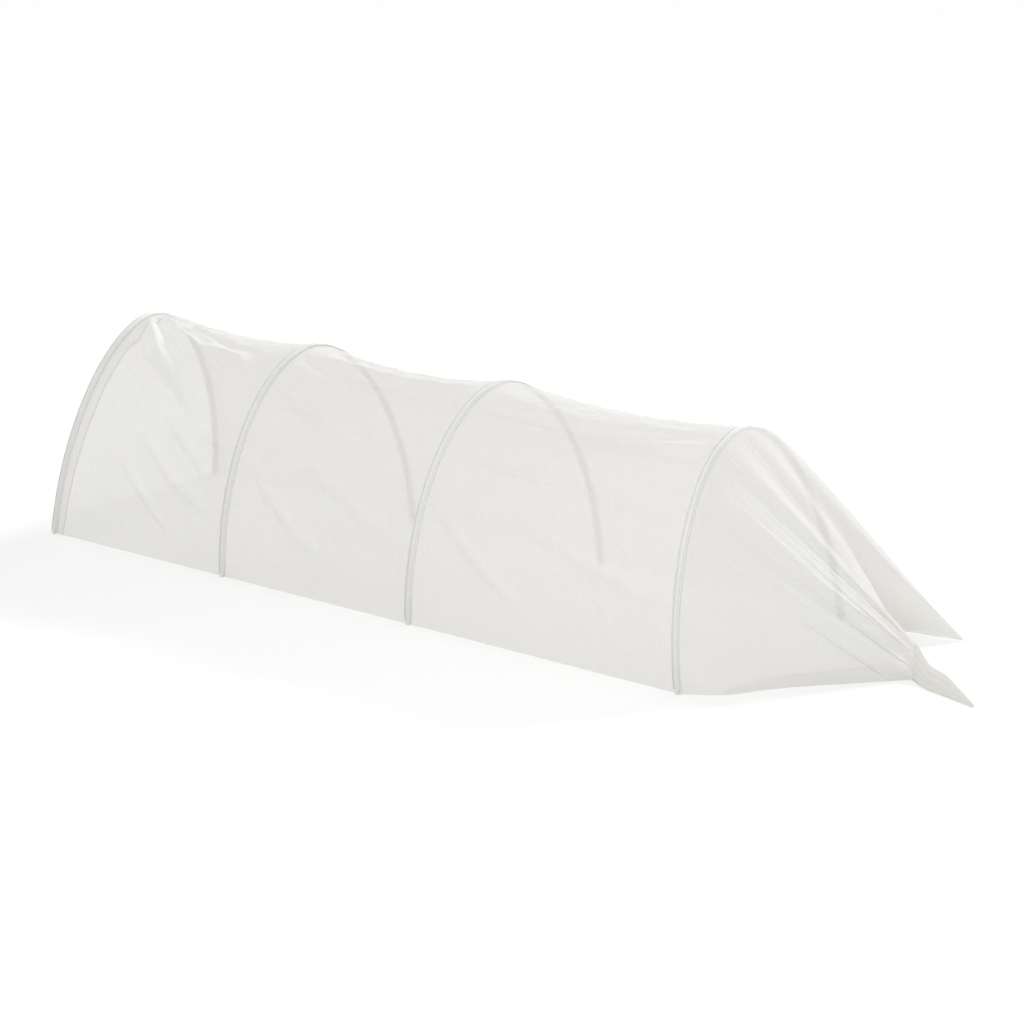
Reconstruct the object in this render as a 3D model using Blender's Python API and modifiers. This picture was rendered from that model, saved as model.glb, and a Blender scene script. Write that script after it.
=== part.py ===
"""Row cover tunnel: four hoops in sewn channels hold up a fleece cover that folds along them.

The tunnel runs along X, with its open front at low X and its gathered tail at high X.
Near is low Y and far is high Y. Z is up, and the ground is at zero. Sizes are in metres.
"""

import math

import bmesh
import bpy
import numpy as np
from mathutils import Matrix

# Hoops: one bent rod each, all alike, pushed into the ground at slightly different angles
HOOP_HEIGHT = 0.445
HOOP_WIDTH = 0.571
HOOP_ROUNDNESS_SHARE = 1.865
HOOP_STATIONS = (0.0, 0.560, 1.080, 1.718)
HOOP_LEAN_SHARES = (0.139, -0.035, -0.036, -0.135)
HOOP_TURN_SHARES = (-0.121, 0.054, 0.074, -0.028)
ROD_DIAMETER = 0.008
GROUND_OVERRUN = 0.012

# Channels: tubes of fleece sewn along the outside of the cover, one round each hoop
CHANNEL_WALL = 0.0008
CHANNEL_CLEARANCE = 0.0003
CHANNEL_FOOT_GAP = 0.008

# Cover: one length of fleece, sagging between the hoops and grooved below each channel
FLEECE_THICKNESS = 0.0008
SEAM_CLEARANCE = 0.0004
PANEL_CLEARANCE = 0.0005
GROOVE_WIDTH = 0.0112
GROOVE_WALL = 0.0010
HOOP_SEAM_GAP = 0.0018
HEM_LIFT = 0.0012
FRONT_OVERHANG = 0.009
FOLD_LINE_MARGIN = 0.012
BAY_SAGS = (0.019, 0.027, 0.020)
SAG_SIDE_SHARE = 0.8

# Main folds of the bays. Each line's places are shares of the way along the bay and of the way
# round from the hem. A height above zero is a ridge and one below zero a valley.
FOLD_LINE_SHARES = (
    (
        ((0.00, 0.430), (0.16, 0.348), (0.475, 0.276), (0.62, 0.240)),
        ((0.00, 0.484), (0.26, 0.368), (0.585, 0.276), (0.72, 0.250)),
        ((0.00, 0.520), (0.28, 0.404), (0.550, 0.335), (0.74, 0.300)),
        ((0.02, 0.550), (0.30, 0.440), (0.500, 0.400), (0.75, 0.350)),
        ((0.40, 0.200), (0.645, 0.138), (0.950, 0.090)),
    ),
    (
        ((0.15, 0.290), (0.325, 0.284), (0.69, 0.266), (0.90, 0.250)),
        ((0.02, 0.435), (0.235, 0.424), (0.60, 0.420)),
        ((0.02, 0.318), (0.240, 0.302), (0.425, 0.278), (0.62, 0.260)),
        ((0.10, 0.470), (0.500, 0.455), (0.95, 0.470)),
    ),
    (
        ((0.02, 0.384), (0.38, 0.398), (0.97, 0.438)),
        ((0.30, 0.372), (0.75, 0.370), (1.00, 0.364)),
        ((0.06, 0.190), (0.18, 0.145), (0.42, 0.070)),
        ((0.40, 0.190), (0.70, 0.150), (0.95, 0.130)),
    ),
)
FOLD_HEIGHTS = (
    (-0.0054, 0.0064, -0.0060, 0.0045, 0.0035),
    (-0.0035, -0.0048, 0.0038, 0.0035),
    (-0.0048, -0.0045, 0.0035, 0.0026),
)
FOLD_WIDTHS = (
    (0.018, 0.020, 0.018, 0.018, 0.016),
    (0.016, 0.018, 0.016, 0.020),
    (0.018, 0.016, 0.016, 0.016),
)
FAR_FOLD_SHARE = 0.85
FOLD_FADE_SHARE = 0.7
HEM_FADE_SHARE = 0.04

# Front hem: the end of the cover, turned in behind the first hoop
FRONT_HEM_WIDTH = 0.028
FRONT_HEM_GAP = 0.0006
FRONT_HEM_FOOT_SHARE = 0.75
FRONT_HEM_SWELL_SHARE = 0.8

# End panel: the cover beyond the last hoop, drawn down to the ground and gathered
TAIL_REACH = 0.474
END_SIDE_REACH = 0.2855
GATHER_HEIGHT = 0.038
END_BULGE = 0.0085
END_BULGE_SHARE = 0.30
END_OUTWARD_SHARE = 0.5
END_FOLD_DEPTH = 0.006
END_FOLD_COUNT = 11
END_START_LENGTH = 0.010
NEAR_HEM_PLAN_SHARES = (
    (0.00, 0.040, -0.985),
    (0.05, 0.173, -0.830),
    (0.09, 0.248, -0.610),
    (0.13, 0.343, -0.377),
    (0.17, 0.476, -0.116),
    (0.20, 0.553, 0.042),
    (0.24, 0.639, 0.210),
)
FAR_HEM_PLAN_SHARES = (
    (0.470, 0.498, 0.641),
    (0.530, 0.268, 1.010),
    (0.630, 0.534, 1.138),
    (0.730, 0.400, 1.090),
    (1.000, 0.040, 0.985),
)
END_TUCK_SHARE = 3.5

# End hem: the folded lower edge between the last near foot and the gather
END_HEM_HEIGHT = 0.054
END_HEM_START_SHARE = 0.03
END_HEM_CUT_SHARE = 0.05
END_HEM_STOP_SHARE = 0.004

# Tail: the gathered end of the fleece, lying flat on the ground
TAIL_SECTION_SHARES = (
    (0.639, 0.210, 0.498, 0.641, 1.00),
    (0.736, 0.112, 0.620, 0.505, 0.40),
    (0.820, 0.071, 0.728, 0.410, 0.31),
    (0.905, 0.035, 0.850, 0.238, 0.22),
    (0.970, 0.005, 0.955, 0.087, 0.12),
    (1.000, -0.010, 0.999, 0.020, 0.07),
)
TAIL_RISE_SHARE = 0.6
TAIL_PLEAT_DEPTH_SHARE = 0.22
TAIL_PLEAT_COUNT = 4

# Finishes: linear red, green and blue, and how matt each one is
ROD_COLOUR_SHARES = (0.80, 0.80, 0.78)
ROD_MATT_SHARE = 0.35
FLEECE_COLOUR_SHARES = (0.86, 0.85, 0.82)
FLEECE_MATT_SHARE = 0.95

# How finely the curved faces are divided
ARCH_STEPS = 24
BAY_STEPS = (14, 11, 12)
BAY_HEM_COLUMNS = 5
BAY_FOLD_COLUMNS = 30
BAY_HEM_SHARE = 0.2
END_STEPS = 9
END_COLUMNS = 34
TAIL_COLUMNS = 14
ROD_RESOLUTION = 2
ARCH_SAMPLE_COUNT = 240

# Everything below follows from the sizes above
ROD_RADIUS = ROD_DIAMETER / 2
CHANNEL_BORE = ROD_RADIUS + CHANNEL_CLEARANCE
CHANNEL_RADIUS = CHANNEL_BORE + CHANNEL_WALL
GROOVE_DEPTH = CHANNEL_RADIUS + SEAM_CLEARANCE
GROOVE_REACH = GROOVE_WIDTH / 2 + GROOVE_WALL
LAST_STATION = HOOP_STATIONS[-1]
MOUTH_START = NEAR_HEM_PLAN_SHARES[-1][0]
MOUTH_END = FAR_HEM_PLAN_SHARES[0][0]
WELD_DISTANCE = CHANNEL_CLEARANCE / 10


def clear_scene():
    """Remove whatever the scene holds."""
    for thing in list(bpy.data.objects):
        bpy.data.objects.remove(thing, do_unlink=True)


def make_collection(name):
    """A collection of its own in the scene."""
    collection = bpy.data.collections.new(name)
    bpy.context.scene.collection.children.link(collection)
    return collection


def make_material(name, colour, roughness):
    """A plain finish, given as linear red, green and blue."""
    material = bpy.data.materials.new(name)
    material.use_nodes = True
    shader = material.node_tree.nodes["Principled BSDF"]
    shader.inputs["Base Color"].default_value = (*colour, 1.0)
    shader.inputs["Roughness"].default_value = roughness
    shader.inputs["Metallic"].default_value = 0.0
    material.diffuse_color = (*colour, 1.0)
    return material


def spaced(low, high, steps):
    """Even steps from low to high, both ends included."""
    return [low + (high - low) * step / steps for step in range(steps + 1)]


def arch(share, inset=0.0):
    """Y and Z of the hoop's centre line at a share of its way round, moved inwards by inset."""
    angle = math.pi * share
    power = 2 / HOOP_ROUNDNESS_SHARE
    half = HOOP_WIDTH / 2
    across = -math.copysign(abs(math.cos(angle)) ** power, math.cos(angle))
    up = abs(math.sin(angle)) ** power
    slope_y = math.copysign(abs(across) ** (HOOP_ROUNDNESS_SHARE - 1) / half, across)
    slope_z = up ** (HOOP_ROUNDNESS_SHARE - 1) / HOOP_HEIGHT
    length = math.hypot(slope_y, slope_z)
    out_y = slope_y / length
    out_z = slope_z / length
    return half * across - inset * out_y, HOOP_HEIGHT * up - inset * out_z, out_y, out_z


def arch_length():
    """Length of the hoop's centre line from foot to foot."""
    points = [arch(share)[:2] for share in spaced(0.0, 1.0, ARCH_SAMPLE_COUNT)]
    return sum(math.dist(low, high) for low, high in zip(points, points[1:]))


ARCH_LENGTH = arch_length()


def along(hoop, y, z):
    """X of a point of a hoop's leaning plane."""
    return HOOP_STATIONS[hoop] + HOOP_LEAN_SHARES[hoop] * z + HOOP_TURN_SHARES[hoop] * y


def hoop_point(hoop, share):
    """A point of a hoop's centre line."""
    y, z, _, _ = arch(share)
    return along(hoop, y, z), y, z


def leg_line(hoop, height):
    """The hoop's centre line, with both legs ending straight at a height."""
    points = [hoop_point(hoop, share) for share in arch_shares()]
    for foot, knee in ((0, 1), (-1, -2)):
        share = height / points[knee][2]
        ends = zip(points[foot], points[knee])
        points[foot] = tuple(low + (high - low) * share for low, high in ends)
    return points


def seam_x(hoop, share, depth=0.0):
    """X at which the cover crosses a hoop's plane, at a depth below the cover's outer face."""
    y, z, _, _ = arch(share, depth)
    return along(hoop, y, z)


def hoop_reach(hoop):
    """Lowest and highest X of a hoop with its channel."""
    line = [hoop_point(hoop, step / ARCH_STEPS)[0] for step in range(ARCH_STEPS + 1)]
    return min(line) - CHANNEL_RADIUS, max(line) + CHANNEL_RADIUS


def fold_start(hoop):
    """X of the line beyond a hoop where the bay's loose cloth starts."""
    reach = hoop_reach(hoop)[1] + FOLD_LINE_MARGIN
    if hoop == 0:
        reach += FRONT_HEM_WIDTH
    return reach


def fold_end(hoop):
    """X of the line before a hoop where the bay's loose cloth ends."""
    return hoop_reach(hoop)[0] - FOLD_LINE_MARGIN


def near_line(line, place):
    """Distance from a place to a line of points, and the share of the line walked to it."""
    nearest = math.inf
    walked = 0.0
    share = 0.0
    for low, high in zip(line, line[1:]):
        step = high - low
        length = float(np.linalg.norm(step))
        part = min(1.0, max(0.0, float((place - low) @ step) / length**2))
        away = float(np.linalg.norm(place - low - part * step))
        if away < nearest:
            nearest = away
            share = walked + part * length
        walked += length
    return nearest, share / walked


def fold_height(bay, along_share, share):
    """Height of a bay's folds above its even sag. The far side has the same folds, lower."""
    size = np.array((HOOP_STATIONS[bay + 1] - HOOP_STATIONS[bay], ARCH_LENGTH))
    total = 0.0
    for shares, height, width in zip(FOLD_LINE_SHARES[bay], FOLD_HEIGHTS[bay], FOLD_WIDTHS[bay]):
        line = np.array(shares) * size
        for side, strength in ((share, 1), (1 - share, FAR_FOLD_SHARE)):
            away, walked = near_line(line, np.array((along_share, side)) * size)
            fade = math.sin(math.pi * walked) ** FOLD_FADE_SHARE if 0 < walked < 1 else 0.0
            total += strength * height * fade * math.exp(-((away / width) ** 2))
    return total * min(1.0, min(share, 1 - share) / HEM_FADE_SHARE)


def groove(distance, depth):
    """Depth of the groove below a channel, at a distance along X from the hoop's plane."""
    part = (GROOVE_REACH + depth - abs(distance)) / GROOVE_WALL
    return GROOVE_DEPTH * min(1.0, max(0.0, part))


def bay_point(bay, x, share, depth=0.0):
    """A point of the cover between two hoops, at a given X and share of the way round."""
    y, z, out_y, out_z = arch(share, depth)
    start = along(bay, y, z)
    finish = along(bay + 1, y, z)
    along_share = min(1.0, max(0.0, (x - start) / (finish - start)))
    slack = 4 * along_share * (1 - along_share)
    sag = BAY_SAGS[bay] * slack * math.sin(math.pi * share) ** SAG_SIDE_SHARE
    folds = fold_height(bay, along_share, share) * math.sqrt(slack)
    drop = sag - folds + groove(x - start, depth) + groove(x - finish, depth)
    return x, y - drop * out_y, max(HEM_LIFT, z - drop * out_z)


def grid_object(name, rows, thickness, collection):
    """A loft through rows of points, given its thickness inwards."""
    rows = [list(row) for row in rows]
    shape = bmesh.new()
    grid = [[shape.verts.new(point) for point in row] for row in rows]
    for low, high in zip(grid, grid[1:]):
        for step in range(len(low) - 1):
            shape.faces.new((low[step], high[step], high[step + 1], low[step + 1]))
    mesh = bpy.data.meshes.new(name)
    shape.to_mesh(mesh)
    shape.free()
    mesh.shade_smooth()
    panel = bpy.data.objects.new(name, mesh)
    collection.objects.link(panel)
    wall = panel.modifiers.new("fleece thickness", "SOLIDIFY")
    wall.thickness = thickness
    wall.offset = -1
    return panel


def arch_shares(steps=ARCH_STEPS):
    """Even shares of the way round the arch."""
    return [step / steps for step in range(steps + 1)]


def groove_lines(depth=0.0):
    """Places of a groove's four edges along X, at a depth below the cover's outer face."""
    inner = GROOVE_WIDTH / 2 + depth
    outer = GROOVE_REACH + depth
    return [-outer, -inner, inner, outer]


def bay_shares():
    """Shares of the way round for a loose bay, closer together where it has its folds."""
    near = spaced(0.0, BAY_HEM_SHARE, BAY_HEM_COLUMNS)
    middle = spaced(BAY_HEM_SHARE, 1 - BAY_HEM_SHARE, BAY_FOLD_COLUMNS)
    far = spaced(1 - BAY_HEM_SHARE, 1.0, BAY_HEM_COLUMNS)
    return near + middle[1:] + far[1:]


def tube(name, points, radius, capped, collection):
    """A round tube along points."""
    curve = bpy.data.curves.new(name, "CURVE")
    curve.dimensions = "3D"
    curve.bevel_depth = radius
    curve.bevel_resolution = ROD_RESOLUTION
    curve.use_fill_caps = capped
    spline = curve.splines.new("POLY")
    spline.points.add(len(points) - 1)
    for place, point in zip(spline.points, points):
        place.co = (*point, 1.0)
    line = bpy.data.objects.new(name, curve)
    collection.objects.link(line)
    return line


def as_mesh(line, collection):
    """The same object as a mesh with its caps welded on."""
    bpy.context.view_layer.update()
    name = line.name
    evaluated = line.evaluated_get(bpy.context.evaluated_depsgraph_get())
    mesh = bpy.data.meshes.new_from_object(evaluated)
    shape = bmesh.new()
    shape.from_mesh(mesh)
    bmesh.ops.remove_doubles(shape, verts=shape.verts, dist=WELD_DISTANCE)
    bmesh.ops.recalc_face_normals(shape, faces=shape.faces)
    shape.to_mesh(mesh)
    shape.free()
    bpy.data.objects.remove(line, do_unlink=True)
    solid = bpy.data.objects.new(name, mesh)
    mesh.name = name
    collection.objects.link(solid)
    return solid


def make_ground_cutter(collection):
    """The block that cuts the hoops' feet off flat at ground level."""
    cutter = bpy.data.objects.new("ground_cutter", bpy.data.meshes.new("ground_cutter"))
    shape = bmesh.new()
    bmesh.ops.create_cube(shape, size=1.0)
    length = LAST_STATION + 2 * TAIL_REACH
    size = Matrix.Diagonal((length, 2 * HOOP_WIDTH, 4 * GROUND_OVERRUN, 1.0))
    place = Matrix.Translation((LAST_STATION / 2, 0.0, -2 * GROUND_OVERRUN))
    bmesh.ops.transform(shape, matrix=place @ size, verts=shape.verts)
    shape.to_mesh(cutter.data)
    shape.free()
    cutter.hide_render = True
    cutter.display_type = "WIRE"
    collection.objects.link(cutter)
    return cutter


def make_hoop(hoop, cutter, collection):
    """One bent rod, cut flat at ground level."""
    points = leg_line(hoop, -GROUND_OVERRUN)
    line = tube(f"hoop_{hoop + 1}", points, ROD_RADIUS, True, collection)
    rod = as_mesh(line, collection)
    rod.data.shade_smooth()
    cut = rod.modifiers.new("flat feet", "BOOLEAN")
    cut.operation = "DIFFERENCE"
    cut.solver = "EXACT"
    cut.object = cutter
    return rod


def make_channel(hoop, collection):
    """The sewn tube round one hoop, open at both feet."""
    points = leg_line(hoop, CHANNEL_FOOT_GAP)
    line = tube(f"channel_{hoop + 1}", points, CHANNEL_RADIUS, False, collection)
    sleeve = as_mesh(line, collection)
    sleeve.data.shade_smooth()
    wall = sleeve.modifiers.new("fleece thickness", "SOLIDIFY")
    wall.thickness = CHANNEL_WALL
    wall.offset = -1
    return sleeve


def front_edge(share):
    """X of the cover's open front edge."""
    return seam_x(0, share) - FRONT_OVERHANG


def front_hem_width(share):
    """Width of the turned-in front hem, a little narrower at the feet."""
    swell = math.sin(math.pi * share) ** FRONT_HEM_SWELL_SHARE
    return FRONT_HEM_WIDTH * (FRONT_HEM_FOOT_SHARE + (1 - FRONT_HEM_FOOT_SHARE) * swell)


def make_front_hem(collection):
    """The end of the cover, turned in under itself behind the first hoop."""
    depth = FLEECE_THICKNESS + FRONT_HEM_GAP
    rows = []
    for place in (-FRONT_OVERHANG, *groove_lines(depth)):
        row = [bay_point(0, seam_x(0, share, depth) + place, share, depth) for share in arch_shares()]
        rows.append(row)
    row = []
    for share in arch_shares():
        x = seam_x(0, share, depth) + max(front_hem_width(share), FRONT_OVERHANG)
        row.append(bay_point(0, x, share, depth))
    rows.append(row)
    return grid_object("front_hem", rows, FLEECE_THICKNESS, collection)


def make_cover_arch(hoop, collection):
    """The band of cover that stays with one hoop when the tunnel is folded."""
    last = hoop == len(HOOP_STATIONS) - 1
    rows = []
    if hoop == 0:
        rows.append([bay_point(0, front_edge(share), share) for share in arch_shares()])
    else:
        low = fold_end(hoop) + PANEL_CLEARANCE / 2
        rows.append([bay_point(hoop - 1, low, share) for share in arch_shares()])
        middle = []
        for share in arch_shares():
            x = (low + seam_x(hoop, share)) / 2
            middle.append(bay_point(hoop - 1, x, share))
        rows.append(middle)
    for place in groove_lines():
        bay = min(hoop, len(HOOP_STATIONS) - 2) if place > 0 else max(0, hoop - 1)
        row = [bay_point(bay, seam_x(hoop, share) + place, share) for share in arch_shares()]
        rows.append(row)
    if not last:
        high = fold_start(hoop) - PANEL_CLEARANCE / 2
        middle = []
        for share in arch_shares():
            x = (high + seam_x(hoop, share)) / 2
            middle.append(bay_point(hoop, x, share))
        rows.append(middle)
        rows.append([bay_point(hoop, high, share) for share in arch_shares()])
    return grid_object(f"cover_arch_{hoop + 1}", rows, FLEECE_THICKNESS, collection)


def make_cover_bay(bay, collection):
    """The loose cloth between two hoops."""
    low = fold_start(bay) + PANEL_CLEARANCE / 2
    high = fold_end(bay + 1) - PANEL_CLEARANCE / 2
    rows = []
    for x in spaced(low, high, BAY_STEPS[bay]):
        rows.append([bay_point(bay, x, share) for share in bay_shares()])
    return grid_object(f"cover_bay_{bay + 1}", rows, FLEECE_THICKNESS, collection)


def lifted(point):
    """The same point, no lower than the hem."""
    x, y, z = point
    return x, y, max(HEM_LIFT, z)


def last_seam(share):
    """The point of a line of the end panel where it leaves the last hoop's band."""
    last = len(HOOP_STATIONS) - 1
    step = min(ARCH_STEPS - 1, int(share * ARCH_STEPS))
    part = share * ARCH_STEPS - step
    low = lifted(hoop_point(last, step / ARCH_STEPS))
    high = lifted(hoop_point(last, (step + 1) / ARCH_STEPS))
    x, y, z = (before + (after - before) * part for before, after in zip(low, high))
    return x + GROOVE_REACH + HOOP_SEAM_GAP, y, z


def smooth_table(table, at):
    """A smooth curve through a table's rows, read at a value of its first column."""
    place = 0
    while place < len(table) - 2 and at > table[place + 1][0]:
        place += 1
    before = table[max(0, place - 1)]
    low = table[place]
    high = table[place + 1]
    after = table[min(len(table) - 1, place + 2)]
    step = (at - low[0]) / (high[0] - low[0])
    values = []
    for column in range(1, len(low)):
        tangent_low = (high[column] - before[column]) / (high[0] - before[0]) * (high[0] - low[0])
        tangent_high = (after[column] - low[column]) / (after[0] - low[0]) * (high[0] - low[0])
        values.append(
            (2 * step**3 - 3 * step**2 + 1) * low[column]
            + (step**3 - 2 * step**2 + step) * tangent_low
            + (3 * step**2 - 2 * step**3) * high[column]
            + (step**3 - step**2) * tangent_high
        )
    return values


def tail_section(row, across):
    """A point of the tail's upper face on one of its sections."""
    near_reach, near_side, far_reach, far_side, height_share = row
    reach = near_reach + (far_reach - near_reach) * across
    side = near_side + (far_side - near_side) * across
    pleats = 1 + TAIL_PLEAT_DEPTH_SHARE * math.cos(2 * math.pi * TAIL_PLEAT_COUNT * across)
    round_share = math.sin(math.pi * across) ** TAIL_RISE_SHARE
    rise = GATHER_HEIGHT * height_share * round_share * pleats
    return LAST_STATION + TAIL_REACH * reach, END_SIDE_REACH * side, HEM_LIFT + rise


def end_ground(share):
    """The point where a line of the end panel comes down, on its hem or at the gather."""
    if MOUTH_START < share < MOUTH_END:
        across = (share - MOUTH_START) / (MOUTH_END - MOUTH_START)
        return tail_section(TAIL_SECTION_SHARES[0], across)
    table = NEAR_HEM_PLAN_SHARES if share <= MOUTH_START else FAR_HEM_PLAN_SHARES
    reach, side = smooth_table(table, share)
    return LAST_STATION + TAIL_REACH * reach, END_SIDE_REACH * side, HEM_LIFT


def taut_ground(share):
    """Where the same line would come down if the far side weren't tucked in beside the gather."""
    corner_share, corner_reach, corner_side = max(FAR_HEM_PLAN_SHARES, key=lambda row: row[-1])
    if not MOUTH_END < share < corner_share:
        return end_ground(share)
    _, mouth_reach, mouth_side = FAR_HEM_PLAN_SHARES[0]
    part = (share - MOUTH_END) / (corner_share - MOUTH_END)
    reach = mouth_reach + (corner_reach - mouth_reach) * part
    side = mouth_side + (corner_side - mouth_side) * part
    return LAST_STATION + TAIL_REACH * reach, END_SIDE_REACH * side, HEM_LIFT


def end_point(share, down):
    """A point of the end panel, at a share of the way round and of the way down."""
    start = np.array(last_seam(share))
    finish = np.array(taut_ground(share))
    tuck = np.array(end_ground(share)) - finish
    _, _, out_y, out_z = arch(share)
    outward = np.array((END_OUTWARD_SHARE, out_y, out_z))
    outward = outward / np.linalg.norm(outward)
    bulge = END_BULGE * math.sin(math.pi * down**END_BULGE_SHARE) * math.sin(math.pi * share)
    window = math.sin(math.pi * down) * math.sin(math.pi * share)
    folds = END_FOLD_DEPTH * window * math.cos(2 * math.pi * END_FOLD_COUNT * share)
    point = start + (finish - start) * down + outward * (bulge - folds)
    point = point + tuck * down**END_TUCK_SHARE
    return point[0], point[1], max(HEM_LIFT, point[2])


def end_length(share):
    """Straight length of the end panel at a share of the way round."""
    start = np.array(last_seam(share))
    return max(END_START_LENGTH, float(np.linalg.norm(np.array(end_ground(share)) - start)))


def hem_top(share):
    """How far down the end panel its folded hem starts, as a share."""
    if share > MOUTH_START:
        return 1.0
    step = max(0.0, (share - END_HEM_START_SHARE) / (MOUTH_START - END_HEM_START_SHARE))
    height = END_HEM_HEIGHT * step * (2 - step)
    return 1 - height / end_length(share)


def end_shares():
    """Shares of the way round for the end panel, with the gather's corners among them."""
    near = spaced(0.0, MOUTH_START, END_COLUMNS // 4)
    mouth = spaced(MOUTH_START + END_HEM_STOP_SHARE, MOUTH_END, END_COLUMNS // 4)
    far = spaced(MOUTH_END, 1.0, END_COLUMNS // 2)
    return near + mouth + far[1:]


def make_cover_end(collection):
    """The cover beyond the last hoop, drawn to the ground, with a fold at its far corner."""
    rows = []
    for down in spaced(0.0, 1.0, END_STEPS):
        row = []
        for share in end_shares():
            limit = hem_top(share)
            row.append(end_point(share, down * limit))
        rows.append(row)
    return grid_object("cover_end", rows, FLEECE_THICKNESS, collection)


def make_end_hem(collection):
    """The folded hem below the end panel's near part."""
    columns = [share for share in end_shares() if END_HEM_CUT_SHARE < share <= MOUTH_START]
    columns[-1] -= END_HEM_STOP_SHARE / 2
    rows = []
    for step in spaced(0.0, 1.0, 2):
        row = []
        for share in columns:
            top = hem_top(share) + PANEL_CLEARANCE / end_length(share)
            row.append(end_point(share, top + (1 - top) * step))
        rows.append(row)
    return grid_object("end_hem", rows, 2 * FLEECE_THICKNESS, collection)


def make_cover_tail(collection):
    """The gathered tail: pleats above, flat below, closed at both ends."""
    shape = bmesh.new()
    rings = []
    for row in TAIL_SECTION_SHARES:
        ring = []
        for across in spaced(0.0, 1.0, TAIL_COLUMNS):
            x, y, z = tail_section(row, across)
            ring.append(shape.verts.new((x + SEAM_CLEARANCE, y, z + SEAM_CLEARANCE)))
        for across in spaced(1.0, 0.0, 2):
            x, y, _ = tail_section(row, across)
            ring.append(shape.verts.new((x + SEAM_CLEARANCE, y, HEM_LIFT / 2)))
        rings.append(ring)
    for low, high in zip(rings, rings[1:]):
        for step in range(len(low)):
            following = (step + 1) % len(low)
            shape.faces.new((low[step], high[step], high[following], low[following]))
    shape.faces.new(rings[0])
    shape.faces.new(reversed(rings[-1]))
    bmesh.ops.recalc_face_normals(shape, faces=shape.faces)
    mesh = bpy.data.meshes.new("cover_tail")
    shape.to_mesh(mesh)
    shape.free()
    tail = bpy.data.objects.new("cover_tail", mesh)
    collection.objects.link(tail)
    return tail


def carry(pieces, hoop, material):
    """Give pieces their finish and hang them from the empty of the hoop that carries them."""
    empty = bpy.data.objects.new(f"slide_{hoop + 1}", None)
    empty.location = (HOOP_STATIONS[hoop], 0.0, 0.0)
    bpy.context.scene.collection.objects.link(empty)
    for piece in pieces:
        piece.data.transform(Matrix.Translation((-HOOP_STATIONS[hoop], 0.0, 0.0)))
        piece.data.materials.append(material[piece.name.split("_")[0]])
        piece.parent = empty
    return empty


def centre(pieces, carriers):
    """Put the origin below the middle of the whole tunnel."""
    bpy.context.view_layer.update()
    graph = bpy.context.evaluated_depsgraph_get()
    corners = []
    for piece in pieces:
        evaluated = piece.evaluated_get(graph)
        mesh = evaluated.to_mesh()
        corners.extend(evaluated.matrix_world @ vertex.co for vertex in mesh.vertices)
        evaluated.to_mesh_clear()
    places = np.array(corners)
    middle = (places.min(axis=0) + places.max(axis=0)) / 2
    for carrier in carriers:
        carrier.location.x -= middle[0]
        carrier.location.y -= middle[1]


def main():
    """Build the tunnel hoop by hoop."""
    clear_scene()
    parts = make_collection("row_cover_tunnel")
    cutters = make_collection("cutters")
    rod_finish = make_material("white_coated_rod", ROD_COLOUR_SHARES, ROD_MATT_SHARE)
    fleece_finish = make_material("white_fleece", FLEECE_COLOUR_SHARES, FLEECE_MATT_SHARE)
    finishes = {"hoop": rod_finish}
    for kind in ("channel", "cover", "front", "end"):
        finishes[kind] = fleece_finish
    ground = make_ground_cutter(cutters)
    pieces = []
    empties = []
    last = len(HOOP_STATIONS) - 1
    for hoop in range(len(HOOP_STATIONS)):
        group = [
            make_hoop(hoop, ground, parts),
            make_channel(hoop, parts),
            make_cover_arch(hoop, parts),
        ]
        if hoop == 0:
            group.append(make_front_hem(parts))
        if hoop < last:
            group.append(make_cover_bay(hoop, parts))
        else:
            group.extend((make_cover_end(parts), make_end_hem(parts), make_cover_tail(parts)))
        empties.append(carry(group, hoop, finishes))
        pieces.extend(group)
    centre(pieces, [*empties, ground])


main()
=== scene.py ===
"""Dressed row cover tunnel: sheer fleece over four bent rods held in sewn channels.

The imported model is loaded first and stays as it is. Each class below builds one sub-assembly
in the row frame and dresses it: the rods, the channels sewn round them, the fleece between
them, its turned hems, the gathered end and the stitching. Sizes are in metres.
"""

import logging
import math
from dataclasses import dataclass, field
from enum import Enum
from typing import Any, Sequence

import bmesh
import bpy
import numpy as np
from bpy.types import Material, Mesh, Node, NodeSocket, NodeTree, Object
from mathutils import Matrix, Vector


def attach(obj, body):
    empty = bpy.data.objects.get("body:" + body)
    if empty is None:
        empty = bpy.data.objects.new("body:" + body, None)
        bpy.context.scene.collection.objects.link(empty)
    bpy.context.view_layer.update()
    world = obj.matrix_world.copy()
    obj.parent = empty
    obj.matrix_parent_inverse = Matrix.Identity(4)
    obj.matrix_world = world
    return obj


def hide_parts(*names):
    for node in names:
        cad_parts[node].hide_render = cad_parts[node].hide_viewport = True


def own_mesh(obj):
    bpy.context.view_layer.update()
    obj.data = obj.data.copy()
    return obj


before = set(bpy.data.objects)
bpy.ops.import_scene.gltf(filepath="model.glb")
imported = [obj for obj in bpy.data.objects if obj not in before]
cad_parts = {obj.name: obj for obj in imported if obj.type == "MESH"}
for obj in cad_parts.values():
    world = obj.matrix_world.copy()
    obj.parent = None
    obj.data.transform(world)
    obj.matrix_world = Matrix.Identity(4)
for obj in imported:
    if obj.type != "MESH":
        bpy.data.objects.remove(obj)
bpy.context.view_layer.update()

logging.basicConfig(level=logging.INFO, format="%(message)s")
LOG = logging.getLogger("row cover tunnel")

Grid = np.ndarray
Row = tuple[float, ...]

WHITE = (1.0, 1.0, 1.0, 1.0)


class Body(Enum):
    """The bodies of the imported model, one for each hoop."""

    FRONT = "front"
    SECOND = "second"
    THIRD = "third"
    REAR = "rear"

    @classmethod
    def of_hoop(cls, hoop: int) -> str:
        """Name of the body that carries a hoop."""
        return list(cls)[hoop].value


class Hold(Enum):
    """Ways in which a sheet of cloth is held."""

    STRETCHED = "stretched"
    FOLDED = "folded"
    GATHERED = "gathered"


# Node helper and colours


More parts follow.
